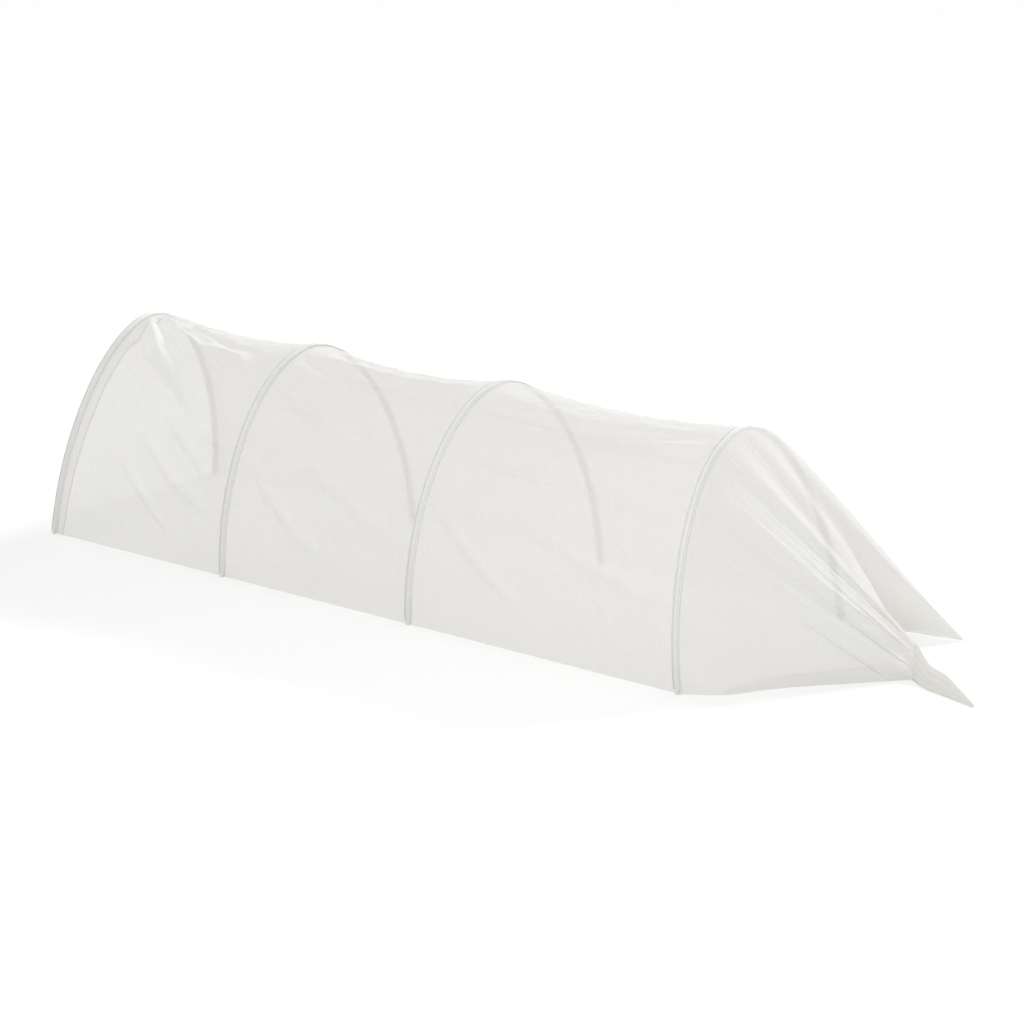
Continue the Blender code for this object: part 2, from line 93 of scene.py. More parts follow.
def linear(code: str) -> tuple[float, float, float, float]:
    """Turn an sRGB hex value to the linear colour that Blender's sockets hold.

    Args:
        code: Six hex digits after a hash sign.

    Returns:
        Linear red, green and blue, with an alpha of one.
    """
    parts = [int(code[place : place + 2], 16) / 255 for place in (1, 3, 5)]
    red, green, blue = (
        part / 12.92 if part <= 0.04045 else ((part + 0.055) / 1.055) ** 2.4 for part in parts
    )
    return red, green, blue, 1.0


def add_node(
    tree: NodeTree,
    kind: str,
    inputs: dict[Any, Any] | None = None,
    **settings: Any,
) -> Node:
    """Add one node with its settings, values and links.

    Args:
        tree: The tree that gets the node.
        kind: The node's type name in Blender.
        inputs: Socket name or number, with what fills it: a value, an output socket, or a
            node, which stands for its first output.
        **settings: Properties of the node.

    Returns:
        The new node.
    """
    node = tree.nodes.new(kind)
    for name, value in settings.items():
        setattr(node, name, value)
    for key, value in (inputs or {}).items():
        if isinstance(value, Node):
            value = value.outputs[0]
        if isinstance(value, NodeSocket):
            tree.links.new(value, node.inputs[key])
        else:
            node.inputs[key].default_value = value
    return node


def clear_tree(owner: Material | bpy.types.World) -> NodeTree:
    """The emptied node tree of a material or a world."""
    owner.use_nodes = True
    owner.node_tree.nodes.clear()
    return owner.node_tree


# Finishes


class Finish:
    """A finish, whose nodes end in one surface."""

    name: str

    def surface(self, tree: NodeTree) -> Node:
        """Add the finish's nodes.

        Args:
            tree: The tree of the material.

        Returns:
            The last node, whose first output is the surface.
        """
        raise NotImplementedError

    def make(self) -> Material:
        """Build the material of this finish."""
        material = bpy.data.materials.new(self.name)
        tree = clear_tree(material)
        add_node(tree, "ShaderNodeOutputMaterial", {"Surface": self.surface(tree)})
        return material


@dataclass(frozen=True)
class FibreLayer:
    """One layer of fibres in the fleece: how they are drawn out and turned, and their noise."""

    stretch: float
    turn: float
    fineness: float
    detail: float
    roughness: float


@dataclass(frozen=True)
class FleeceFinish(Finish):
    """Spunbonded polypropylene fleece, 17 g per square metre.

    Fine endless fibres lie at random and are bonded by heat, so the cloth is matt, lets light
    through all over, and shows what is behind it between the fibres. Where two layers lie on
    each other it looks whiter and denser.
    """

    name: str
    colour: str = "#F3F2EF"
    cover: float = 0.80
    unevenness: float = 0.05
    glow: float = 0.30
    fibre_spacing: float = 0.0030
    relief: float = 0.00035
    layers: tuple[FibreLayer, ...] = (
        FibreLayer(stretch=0.45, turn=0.5, fineness=1.0, detail=3.0, roughness=0.6),
        FibreLayer(stretch=0.5, turn=-0.7, fineness=0.8, detail=2.0, roughness=0.5),
    )
    thinnest_web: float = 0.12
    densest_web: float = 0.40

    def surface(self, tree: NodeTree) -> Node:
        """Add the nodes of the fleece and return the mix of its cloth and its openings."""
        place = add_node(tree, "ShaderNodeUVMap", uv_map="cloth")
        # The pattern is drawn about ten times as coarse as the real fibres, which would not
        # show from this far.
        fibres = []
        for layer in self.layers:
            drawn_out = {
                "Vector": place,
                "Scale": (layer.stretch, 1.0, 1.0),
                "Rotation": (0, 0, layer.turn),
            }
            noise = {
                "Vector": add_node(tree, "ShaderNodeMapping", drawn_out),
                "Scale": layer.fineness / self.fibre_spacing,
                "Detail": layer.detail,
                "Roughness": layer.roughness,
            }
            fibres.append(add_node(tree, "ShaderNodeTexNoise", noise))
        web = add_node(tree, "ShaderNodeMath", {0: fibres[0], 1: fibres[1]}, operation="MULTIPLY")
        spread = {
            "Value": web,
            "From Min": self.thinnest_web,
            "From Max": self.densest_web,
            "To Min": self.cover - self.unevenness / 2,
            "To Max": self.cover + self.unevenness / 2,
        }
        density = add_node(tree, "ShaderNodeMapRange", spread)
        bump = add_node(
            tree, "ShaderNodeBump", {"Height": web, "Strength": 0.6, "Distance": self.relief}
        )
        dull = {
            "Base Color": linear(self.colour),
            "Roughness": 0.85,
            "IOR": 1.49,
            "Specular IOR Level": 0.25,
            "Sheen Weight": 0.15,
            "Sheen Roughness": 0.6,
            "Normal": bump,
        }
        matt = add_node(tree, "ShaderNodeBsdfPrincipled", dull)
        lit_through = add_node(
            tree, "ShaderNodeBsdfTranslucent", {"Color": linear(self.colour), "Normal": bump}
        )
        cloth = add_node(tree, "ShaderNodeMixShader", {0: self.glow, 1: matt, 2: lit_through})
        open_web = add_node(tree, "ShaderNodeBsdfTransparent")
        return add_node(tree, "ShaderNodeMixShader", {0: density, 1: open_web, 2: cloth})


@dataclass(frozen=True)
class CoatedRodFinish(Finish):
    """Steel rod with a white powder coat: smooth, with a soft gloss and a faint orange peel."""

    name: str = "white_powder_coated_steel"
    colour: str = "#F1F1EE"
    dusty_colour: str = "#E9E9E5"
    dust_scale: float = 60.0
    roughness: float = 0.34
    peel_size: float = 0.0015

    def surface(self, tree: NodeTree) -> Node:
        """Add the nodes of the coat and return its shader."""
        place = add_node(tree, "ShaderNodeTexCoord").outputs["Object"]
        peel, dust = (
            add_node(
                tree, "ShaderNodeTexNoise", {"Vector": place, "Scale": scale, "Detail": detail}
            )
            for scale, detail in ((1 / self.peel_size, 1.0), (self.dust_scale, 5.0))
        )
        colours = {"Factor": dust, "A": linear(self.colour), "B": linear(self.dusty_colour)}
        tint = add_node(tree, "ShaderNodeMix", colours, data_type="RGBA")
        bump = add_node(
            tree, "ShaderNodeBump", {"Height": peel, "Strength": 0.25, "Distance": 0.0001}
        )
        coat = {
            "Base Color": tint.outputs["Result"],
            "Roughness": self.roughness,
            "IOR": 1.5,
            "Normal": bump,
        }
        return add_node(tree, "ShaderNodeBsdfPrincipled", coat)


@dataclass(frozen=True)
class ThreadFinish(Finish):
    """Spun polyester sewing thread: matt, with a twist that shows as fine slanted lines."""

    name: str = "spun_polyester_thread"
    colour: str = "#EDEBE7"
    twist: float = 0.0012

    def surface(self, tree: NodeTree) -> Node:
        """Add the nodes of the thread and return its shader."""
        place = add_node(tree, "ShaderNodeTexCoord").outputs["Object"]
        twisted = {"Vector": place, "Scale": 1 / self.twist / 3, "Distortion": 2.0}
        strands = add_node(tree, "ShaderNodeTexWave", twisted, bands_direction="DIAGONAL")
        relief = {"Height": strands.outputs["Fac"], "Strength": 0.4, "Distance": 0.0001}
        thread = {
            "Base Color": linear(self.colour),
            "Roughness": 0.75,
            "IOR": 1.5,
            "Sheen Weight": 0.3,
            "Normal": add_node(tree, "ShaderNodeBump", relief),
        }
        return add_node(tree, "ShaderNodeBsdfPrincipled", thread)


def seen_rays(tree: NodeTree) -> Node:
    """A value of one for rays that show the background: straight, mirrored or let through."""
    rays = add_node(tree, "ShaderNodeLightPath").outputs
    seen: Any = rays["Is Camera Ray"]
    for kind in ("Is Glossy Ray", "Is Transmission Ray"):
        seen = add_node(tree, "ShaderNodeMath", {0: seen, 1: rays[kind]}, operation="MAXIMUM")
    return seen


@dataclass(frozen=True)
class FloorFinish(Finish):
    """Matt white floor of the studio, with a fill that makes it white to the camera."""

    name: str = "matt_white_floor"
    colour: str = "#DFDFDF"
    fill: float = 0.31

    def surface(self, tree: NodeTree) -> Node:
        """Add the floor's nodes and return the last one."""
        matt = add_node(tree, "ShaderNodeBsdfDiffuse", {"Color": linear(self.colour)})
        fill = add_node(
            tree, "ShaderNodeMath", {0: seen_rays(tree), 1: self.fill}, operation="MULTIPLY"
        )
        glow = add_node(tree, "ShaderNodeEmission", {"Color": WHITE, "Strength": fill})
        return add_node(tree, "ShaderNodeAddShader", {0: matt, 1: glow})


# Shape of the cover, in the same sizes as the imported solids


def smooth_table(rows: Sequence[Row], at: float) -> np.ndarray:
    """Read a smooth curve through a table's rows.

    Args:
        rows: Rows whose first number is the place along the curve.
        at: The place to read.

    Returns:
        The other numbers of the row at that place.
    """
    table = np.array(rows)
    place = 0
    while place < len(table) - 2 and at > table[place + 1, 0]:
        place += 1
    before, low = table[max(0, place - 1)], table[place]
    high, after = table[place + 1], table[min(len(table) - 1, place + 2)]
    span = high[0] - low[0]
    step = (at - low[0]) / span
    leaving = (high - before) / (high[0] - before[0]) * span
    arriving = (after - low) / (after[0] - low[0]) * span
    value = (
        (2 * step**3 - 3 * step**2 + 1) * low
        + (step**3 - 2 * step**2 + step) * leaving
        + (3 * step**2 - 2 * step**3) * high
        + (step**3 - step**2) * arriving
    )
    return value[1:]


@dataclass(frozen=True)
class Crease:
    """One soft fold of a bay, along a line of the cloth.

    A place on the line is the share of the way from one hoop to the next and the share of the
    way round the arch from the near hem. A positive height is a ridge and a negative one a
    valley. The far side has the same folds, but lower.
    """

    line: tuple[tuple[float, float], ...]
    height: float
    width: float
    far_share: float = 0.45
    fade_shift: float = 0.7
    fade_power: float = 0.7

    def on_side(self, along: Grid, around: Grid, lengths: tuple[float, float]) -> Grid:
        """Height of the fold on one side of the tunnel.

        Args:
            along: Share of the way from one hoop to the next.
            around: Share of the way round, counted from this side's hem.
            lengths: Length of the bay, and of the whole arch.

        Returns:
            The fold's height in metres.
        """
        bay_length, arch_length = lengths
        x, y = along * bay_length, around * arch_length
        line = np.array(self.line) * np.array(lengths)
        steps = np.linalg.norm(np.diff(line, axis=0), axis=1)
        walked = np.concatenate([[0], np.cumsum(steps)])
        nearest = np.full_like(x, np.inf)
        place = np.zeros_like(x)
        for number, (low, high) in enumerate(zip(line[:-1], line[1:])):
            step = high - low
            part = np.clip(((x - low[0]) * step[0] + (y - low[1]) * step[1]) / (step @ step), 0, 1)
            away = np.hypot(x - low[0] - part * step[0], y - low[1] - part * step[1])
            closer = away < nearest
            nearest = np.where(closer, away, nearest)
            place = np.where(closer, walked[number] + part * steps[number], place)
        part = np.clip(place / walked[-1], 0, 1) ** self.fade_shift
        fade = np.clip(np.sin(np.pi * part), 0, 1) ** self.fade_power
        return self.height * fade * np.exp(-((nearest / self.width) ** 2))

    def at(self, along: Grid, share: Grid, lengths: tuple[float, float]) -> Grid:
        """Height of the fold on both sides of the tunnel, with the same arguments."""
        near = self.on_side(along, share, lengths)
        return near + self.far_share * self.on_side(along, 1 - share, lengths)


@dataclass(frozen=True)
class Pleat:
    """One pleat of the end panel: the cloth above laps over the cloth below it.

    The share is the place round the arch, the half width the stretch of cloth folded up in
    the pleat, and the lap how far the fold reaches. The pleat opens out above its start.
    """

    share: float
    half_width: float
    lap: float
    lift: float
    start: float
    full_at: float = 0.86
    settles_at: float = 0.90
    settles_over: float = 0.10

    def at(self, share: Grid, down: Grid) -> tuple[Grid, Grid]:
        """Shift round the arch and height of the pleat.

        Args:
            share: Share of the way round of each point.
            down: Share of the way down of each point.

        Returns:
            The shift, as a share of the way round, and the height in metres.
        """
        turn = np.clip((share - self.share) / self.half_width, -1, 1)
        grown = np.clip((down - self.start) / (self.full_at - self.start), 0, 1)
        grown = grown * grown * (3 - 2 * grown)
        settled = 1 - np.clip((down - self.settles_at) / self.settles_over, 0, 1) ** 2
        shift = -self.lap * grown * settled * np.sin(np.pi * turn)
        lift = self.lift * np.sqrt(grown) * settled * 0.5 * (1 + np.sin(np.pi * turn))
        return shift, lift * (1 - turn**4)


@dataclass(frozen=True)
class Wrinkles:
    """Fine wrinkles of cloth that came folded in a bag: small random waves, fixed by a seed."""

    seed: int
    waves: int = 36
    longest: float = 0.110
    shortest: float = 0.022
    steepness: float = 0.018
    lengthwise: float = 0.45
    bend: float = 0.25
    bend_across: float = 3.1
    bend_along: float = 2.3

    def at(self, across: Grid, along: Grid) -> Grid:
        """Height of the wrinkles.

        Args:
            across: Length round the arch, in metres.
            along: Length along the tunnel, in metres.

        Returns:
            Height above the mean surface, in metres.
        """
        chance = np.random.RandomState(self.seed)
        height = np.zeros_like(across)
        for _ in range(self.waves):
            length = self.shortest * (self.longest / self.shortest) ** chance.rand()
            angle = math.pi / 2 + chance.randn() * self.lengthwise * math.pi / 2
            start = chance.rand() * 2 * math.pi
            drift = across * self.bend_across + along * self.bend_along
            bend = self.bend * np.sin(drift * (1 + chance.rand()) + start)
            turn = across * math.sin(angle) + along * math.cos(angle) + bend * length
            height += self.steepness * length / math.sqrt(self.waves) * np.sin(
                2 * math.pi * turn / length + start
            )
        return height


@dataclass(frozen=True)
class Streaks:
    """Fine pulled lines that run down the end panel to the gather, fixed by a seed.

    Each pair of numbers is the least value and how much chance may add to it.
    """

    seed: int = 11
    lines: int = 70
    places: Row = (0.10, 0.80)
    widths: Row = (0.0018, 0.0035)
    middles: Row = (0.25, 0.6)
    reaches: Row = (0.15, 0.25)
    heights: Row = (0.0004, 0.0010)
    ridges: float = 0.6
    narrowing: float = 0.3
    wander: float = 0.010
    turns: float = 3.0
    fade: float = 12.0

    def at(self, share: Grid, down: Grid) -> Grid:
        """Height of the lines.

        Args:
            share: Share of the way round of each point.
            down: Share of the way down of each point.

        Returns:
            Height above the panel, in metres.
        """
        chance = np.random.RandomState(self.seed)

        def pick(span: Row) -> float:
            """The least value, with a share of what chance may add."""
            return span[0] + span[1] * chance.rand()

        height = np.zeros_like(share, dtype=float)
        for _ in range(self.lines):
            place = pick(self.places)
            width = pick(self.widths) * (1 - self.narrowing * down)
            middle, reach = pick(self.middles), pick(self.reaches)
            side = place + self.wander * chance.randn() * np.sin(self.turns * down + place)
            size = pick(self.heights) * (1 if chance.rand() < self.ridges else -1)
            height += size * np.exp(-(((share - side) / width) ** 2)) * np.exp(
                -(((down - middle) / reach) ** 2)
            )
        start, end = np.clip(down * self.fade, 0, 1), np.clip((1 - down) * self.fade, 0, 1)
        return height * start * end


@dataclass(frozen=True)
class TunnelShape:
    """Sizes of the tunnel, and the surfaces of its cover."""

    hoop_height: float = 0.445
    hoop_width: float = 0.571
    roundness: float = 1.865
    stations: Row = (0.0, 0.560, 1.080, 1.718)
    leans: Row = (0.139, -0.035, -0.036, -0.135)
    turns: Row = (-0.121, 0.054, 0.074, -0.028)
    shift: Row = (-1.074427, -0.017334)
    rod_radius: float = 0.004
    channel_radius: float = 0.0051
    groove_half: float = 0.0056
    groove_wall: float = 0.0010
    groove_depth: float = 0.0055
    seam_gap: float = 0.0018
    hem_lift: float = 0.0012
    front_overhang: float = 0.009
    front_hem_width: float = 0.028
    fold_margin: float = 0.012
    bay_sags: Row = (0.019, 0.027, 0.020)
    sag_power: float = 0.8
    crease_fullness: float = 3.2
    crease_clear: float = 0.010
    crease_rise: float = 0.030
    crease_spread: float = 0.3
    hem_calm: float = 0.04
    wrinkles: Wrinkles = Wrinkles(7)
    tail_reach: float = 0.474
    side_reach: float = 0.2855
    gather_height: float = 0.038
    end_bulge: float = 0.0085
    end_bulge_power: float = 0.30
    end_hem_height: float = 0.054
    end_tilt: float = 0.5
    fine_steps: int = 241
    coarse_steps: int = 25
    tuck_power: float = 3.5
    end_table: int = 1601
    pleats: int = 4
    pleat_share: float = 0.22
    tail_roundness: float = 0.6
    near_hem: tuple[Row, ...] = (
        (0.00, 0.040, -0.985),
        (0.05, 0.173, -0.830),
        (0.09, 0.248, -0.610),
        (0.13, 0.343, -0.377),
        (0.17, 0.476, -0.116),
        (0.20, 0.553, 0.042),
        (0.24, 0.639, 0.210),
    )
    far_hem: tuple[Row, ...] = (
        (0.470, 0.498, 0.641),
        (0.530, 0.268, 1.010),
        (0.630, 0.534, 1.138),
        (0.730, 0.400, 1.090),
        (1.000, 0.040, 0.985),
    )
    tail_sections: tuple[Row, ...] = (
        (0.0, 0.639, 0.210, 0.498, 0.641, 1.00),
        (0.2, 0.736, 0.112, 0.620, 0.505, 0.40),
        (0.4, 0.820, 0.071, 0.728, 0.410, 0.31),
        (0.6, 0.905, 0.035, 0.850, 0.238, 0.22),
        (0.8, 0.970, 0.005, 0.955, 0.087, 0.12),
        (1.0, 1.000, -0.010, 0.999, 0.020, 0.07),
    )
    end_fold_depth: float = 0.006
    end_folds: int = 11
    bay_creases: tuple[tuple[Crease, ...], ...] = (
        (
            Crease(((0, 0.43), (0.16, 0.348), (0.475, 0.276), (0.62, 0.24)), -0.0054, 0.0135),
            Crease(((0, 0.484), (0.26, 0.368), (0.585, 0.276), (0.72, 0.25)), 0.0064, 0.0145),
            Crease(((0, 0.50), (0.28, 0.404), (0.55, 0.335), (0.74, 0.30)), -0.0050, 0.0135),
            Crease(((0.06, 0.52), (0.30, 0.44), (0.50, 0.40), (0.75, 0.35)), 0.0036, 0.0135),
            Crease(((0.40, 0.20), (0.645, 0.138), (0.95, 0.09)), 0.0035, 0.010),
            Crease(((0.10, 0.56), (0.20, 0.535), (0.575, 0.446), (0.8, 0.43)), -0.0032, 0.0135),
            Crease(((0.45, 0.425), (0.69, 0.404), (0.85, 0.36)), 0.0032, 0.014),
            Crease(((0.50, 0.24), (0.655, 0.204), (0.82, 0.164), (0.98, 0.148)), 0.0032, 0.009),
            Crease(((0.33, 0.15), (0.45, 0.116), (0.62, 0.07), (0.70, 0.05)), 0.0026, 0.008),
            Crease(((0.70, 0.24), (0.78, 0.222), (0.985, 0.186)), 0.0026, 0.008),
        ),
        (
            Crease(((0.15, 0.29), (0.325, 0.284), (0.69, 0.266), (0.90, 0.25)), -0.0035, 0.014),
            Crease(((0.02, 0.435), (0.235, 0.424), (0.60, 0.42)), -0.0048, 0.018),
            Crease(((0.02, 0.318), (0.24, 0.302), (0.425, 0.278), (0.62, 0.26)), 0.0038, 0.014),
            Crease(((0.10, 0.47), (0.50, 0.455), (0.95, 0.47)), 0.0035, 0.020),
            Crease(((0.08, 0.19), (0.20, 0.15), (0.38, 0.10), (0.55, 0.07)), 0.0030, 0.010),
            Crease(((0.35, 0.21), (0.62, 0.165), (0.92, 0.12)), 0.0026, 0.014),
        ),
        (
            Crease(((0.02, 0.384), (0.38, 0.398), (0.97, 0.438)), -0.0048, 0.018),
            Crease(((0.30, 0.372), (0.75, 0.37), (1.0, 0.364)), -0.0045, 0.013),
            Crease(((0.45, 0.388), (0.70, 0.392), (0.98, 0.402)), 0.0034, 0.012),
            Crease(((0.01, 0.28), (0.14, 0.274), (0.445, 0.266), (0.56, 0.262)), -0.0028, 0.007),
            Crease(((0.06, 0.19), (0.18, 0.145), (0.42, 0.07)), 0.0035, 0.011),
            Crease(((0.55, 0.27), (0.78, 0.262), (0.98, 0.25)), 0.0028, 0.012),
            Crease(((0.40, 0.19), (0.70, 0.15), (0.95, 0.13)), 0.0026, 0.014),
        ),
    )
    end_pleats: tuple[Pleat, ...] = (
        Pleat(0.213, 0.007, 0.0035, 0.0045, 0.36),
        Pleat(0.268, 0.013, 0.0065, 0.0070, 0.30),
        Pleat(0.302, 0.010, 0.0055, 0.0060, 0.50),
        Pleat(0.333, 0.009, 0.0060, 0.0060, 0.42),
        Pleat(0.366, 0.009, 0.0070, 0.0060, 0.58),
        Pleat(0.398, 0.008, 0.0080, 0.0050, 0.48),
        Pleat(0.430, 0.008, 0.0080, 0.0045, 0.62),
    )
    streaks: Streaks = Streaks()

    @property
    def last(self) -> int:
        """Number of the last hoop."""
        return len(self.stations) - 1

    @property
    def arch_length(self) -> float:
        """Length of the hoop's centre line from foot to foot."""
        y, z, _, _ = self.arch(np.linspace(0, 1, self.fine_steps))
        return float(np.hypot(np.diff(y), np.diff(z)).sum())

    @property
    def groove_reach(self) -> float:
        """Distance from a hoop's plane to the top edge of the groove below its channel."""
        return self.groove_half + self.groove_wall

    def placed(self, x: Grid, y: Grid, z: Grid) -> Grid:
        """Points of the row frame from points of the tunnel's own frame."""
        return np.stack(
            np.broadcast_arrays(x + self.shift[0], y + self.shift[1], z), axis=-1
        ).astype(float)

    def arch(self, share: Grid, inset: float | Grid = 0.0) -> tuple[Grid, Grid, Grid, Grid]:
        """The hoop's centre line, moved inwards.

        Args:
            share: Share of the way round, from the near foot to the far foot.
            inset: How far inside the centre line.

        Returns:
            Y and Z of the line, and Y and Z of its outward direction.
        """
        angle = math.pi * np.asarray(share, dtype=float)
        power = 2 / self.roundness
        half = self.hoop_width / 2
        across = -np.sign(np.cos(angle)) * np.abs(np.cos(angle)) ** power
        up = np.abs(np.sin(angle)) ** power
        slope_y = np.sign(across) * np.abs(across) ** (self.roundness - 1) / half
        slope_z = up ** (self.roundness - 1) / self.hoop_height
        length = np.hypot(slope_y, slope_z)
        out_y, out_z = slope_y / length, slope_z / length
        return half * across - inset * out_y, self.hoop_height * up - inset * out_z, out_y, out_z

    def along(self, hoop: int, y: Grid, z: Grid) -> Grid:
        """X of a point of a hoop's plane."""
        return self.stations[hoop] + self.leans[hoop] * z + self.turns[hoop] * y

    def seam_x(self, hoop: int, share: Grid, depth: float | Grid = 0.0) -> Grid:
        """X at which the cover crosses a hoop's plane, at a depth below its outer face."""
        y, z, _, _ = self.arch(share, depth)
        return self.along(hoop, y, z)

    def groove(self, distance: Grid, depth: float | Grid) -> Grid:
        """Depth of the groove below a channel, at a distance from the hoop's plane."""
        part = np.clip((self.groove_reach + depth - np.abs(distance)) / self.groove_wall, 0, 1)
        return self.groove_depth * part * part * (3 - 2 * part)

    def front_edge(self, share: Grid) -> Grid:
        """X of the cover's open front edge."""
        return self.seam_x(0, share) - self.front_overhang

    def reach(self, hoop: int) -> tuple[float, float]:
        """Lowest and highest X of a hoop with its channel."""
        y, z, _, _ = self.arch(np.linspace(0, 1, self.coarse_steps))
        line = self.along(hoop, y, z)
        return line.min() - self.channel_radius, line.max() + self.channel_radius

    def fold_start(self, hoop: int) -> float:
        """X beyond a hoop where the loose cloth of the bay starts."""
        extra = self.front_hem_width if hoop == 0 else 0.0
        return self.reach(hoop)[1] + self.fold_margin + extra

    def fold_end(self, hoop: int) -> float:
        """X before a hoop where the loose cloth of the bay ends."""
        return self.reach(hoop)[0] - self.fold_margin

    def bay(self, bay: int, x: Grid, share: Grid, depth: float | Grid = 0.0) -> Grid:
        """Points of the cover between two hoops.

        Args:
            bay: Number of the bay, from the front.
            x: X of the points in the tunnel's own frame.
            share: Share of the way round.
            depth: How far below the cloth's outer face.

        Returns:
            The points in the row frame.
        """
        y, z, out_y, out_z = self.arch(share, depth)
        low, high = self.along(bay, y, z), self.along(bay + 1, y, z)
        share_along = np.clip((x - low) / (high - low), 0, 1)
        slack = 4 * share_along * (1 - share_along)
        hang = np.clip(np.sin(np.pi * share), 0, 1) ** self.sag_power
        sag = self.bay_sags[bay] * slack * hang
        folds = self.creased(bay, share_along, share) + self.fine(x, share)
        clear = np.minimum(x - low, high - x) - self.crease_clear
        away = np.clip(clear / self.crease_rise, 0, 1)
        fullness = slack**self.crease_spread * away * away * (3 - 2 * away)
        grooves = self.groove(x - low, depth) + self.groove(x - high, depth)
        drop = sag - folds * fullness + grooves
        return self.placed(x, y - drop * out_y, np.maximum(self.hem_lift, z - drop * out_z))

    def off_ground(self, share: Grid) -> Grid:
        """One over most of the arch, fading to nothing at the hems on the ground."""
        return np.clip(np.minimum(share, 1 - share) / self.hem_calm, 0, 1)

    def creased(self, bay: int, along: Grid, share: Grid) -> Grid:
        """Height of the folds of a bay, fading out at the hems on the ground."""
        lengths = (self.stations[bay + 1] - self.stations[bay], self.arch_length)
        total = sum(crease.at(along, share, lengths) for crease in self.bay_creases[bay])
        return total * self.off_ground(share) * self.crease_fullness

    def fine(self, x: Grid, share: Grid) -> Grid:
        """Fine wrinkles, fading out at the hems on the ground."""
        across, along = share * self.arch_length, np.asarray(x, dtype=float)
        return self.wrinkles.at(across, along) * self.off_ground(share)

    def last_seam(self, share: Grid) -> Grid:
        """Points where the end panel leaves the last band, in the tunnel's own frame."""
        y, z, _, _ = self.arch(share)
        x = self.along(self.last, y, z) + self.groove_reach + self.seam_gap / 2
        return np.stack([x, y, np.maximum(self.hem_lift, z)], axis=-1)

    def beyond(self, reach: Grid, side: Grid, up: Grid) -> Grid:
        """Points beyond the last hoop, from shares of the tail's reach and side."""
        x = self.stations[self.last] + self.tail_reach * reach
        return np.stack([x, self.side_reach * side, up], axis=-1)

    def tail_point(self, station: float, across: Grid) -> Grid:
        """Points of the tail's upper face, in the tunnel's own frame.

        Args:
            station: Share of the way from the gather to the tip.
            across: Share of the way from the near edge to the far edge.

        Returns:
            The points.
        """
        near_reach, near_side, far_reach, far_side, height = smooth_table(
            self.tail_sections, station
        )
        reach = near_reach + (far_reach - near_reach) * across
        side = near_side + (far_side - near_side) * across
        pleats = 1 + self.pleat_share * np.cos(2 * np.pi * self.pleats * across)
        crown = np.sin(np.pi * across) ** self.tail_roundness
        rise = self.gather_height * height * crown * pleats
        return self.beyond(reach, side, self.hem_lift + np.maximum(0, rise))

    def end_ground(self, share: float, taut: bool) -> Grid:
        """Where a line of the end panel comes down, in the tunnel's own frame.

        Args:
            share: Share of the way round.
            taut: True for the line as if the far side weren't tucked in beside the gather.

        Returns:
            The point.
        """
        mouth_start, mouth_end = self.near_hem[-1][0], self.far_hem[0][0]
        corner = max(self.far_hem, key=lambda row: row[2])
        if mouth_start < share < mouth_end:
            across = (share - mouth_start) / (mouth_end - mouth_start)
            return self.tail_point(0.0, np.array(across))
        if taut and mouth_end < share < corner[0]:
            part = (share - mouth_end) / (corner[0] - mouth_end)
            reach, side = np.array(self.far_hem[0][1:]) * (1 - part) + np.array(corner[1:]) * part
        else:
            rows = self.near_hem if share <= mouth_start else self.far_hem
            reach, side = smooth_table(rows, share)
        return self.beyond(reach, side, self.hem_lift)

    def end(self, share: Grid, down: Grid, depth: float | Grid = 0.0) -> Grid:
        """Points of the end panel.

        Args:
            share: Share of the way round of each point.
            down: Share of the way down of each point.
            depth: How far below the cloth's outer face.

        Returns:
            The points in the row frame.
        """
        table = np.linspace(0, 1, self.end_table)
        start_table = self.last_seam(table)
        taut_table = np.array([self.end_ground(one, True) for one in table])
        tuck_table = np.array([self.end_ground(one, False) for one in table]) - taut_table
        around, down = np.broadcast_arrays(share, down)
        moved = around.astype(float)
        height = self.streaks.at(around, down)
        for pleat in self.end_pleats:
            shift, lift = pleat.at(around, down)
            moved = moved + shift
            height = height + lift

        def read(rows: Grid) -> Grid:
            """Rows of a table at the places to which the pleats moved the cloth."""
            return np.stack([np.interp(moved, table, rows[:, axis]) for axis in range(3)], -1)

        start, taut, tuck = read(start_table), read(taut_table), read(tuck_table)
        _, _, out_y, out_z = self.arch(moved)
        outward = np.stack([np.full_like(out_y, self.end_tilt), out_y, out_z], axis=-1)
        outward /= np.linalg.norm(outward, axis=-1, keepdims=True)
        part = down[..., None]
        round_sine = np.sin(np.pi * around)
        bulge = self.end_bulge * (np.sin(np.pi * down**self.end_bulge_power) * round_sine)
        folds = self.end_fold_depth * (np.sin(np.pi * down) * round_sine)
        folds = folds * np.cos(2 * np.pi * self.end_folds * around)
        lift = (bulge - folds + height - depth)[..., None]
        points = start + (taut - start) * part + outward * lift
        points = points + tuck * part**self.tuck_power
        points[..., 2] = np.maximum(self.hem_lift, points[..., 2])
        return points + np.array([*self.shift, 0.0])


SHAPE = TunnelShape()


# Meshes


def add_object(name: str, data: bpy.types.ID) -> Object:
    """A new object of the scene that shows some data."""
    thing = bpy.data.objects.new(name, data)
    bpy.context.scene.collection.objects.link(thing)
    return thing


def lay_cloth_map(mesh: Mesh, places: np.ndarray) -> None:
    """Give a mesh its cloth map.

    Args:
        mesh: The mesh.
        places: Place of each vertex on the flat cloth, in metres.
    """
    layer = mesh.uv_layers.new(name="cloth")
    corners = np.empty(len(mesh.loops), dtype=np.int32)
    mesh.loops.foreach_get("vertex_index", corners)
    layer.data.foreach_set("uv", places[corners].astype(np.float32).ravel())


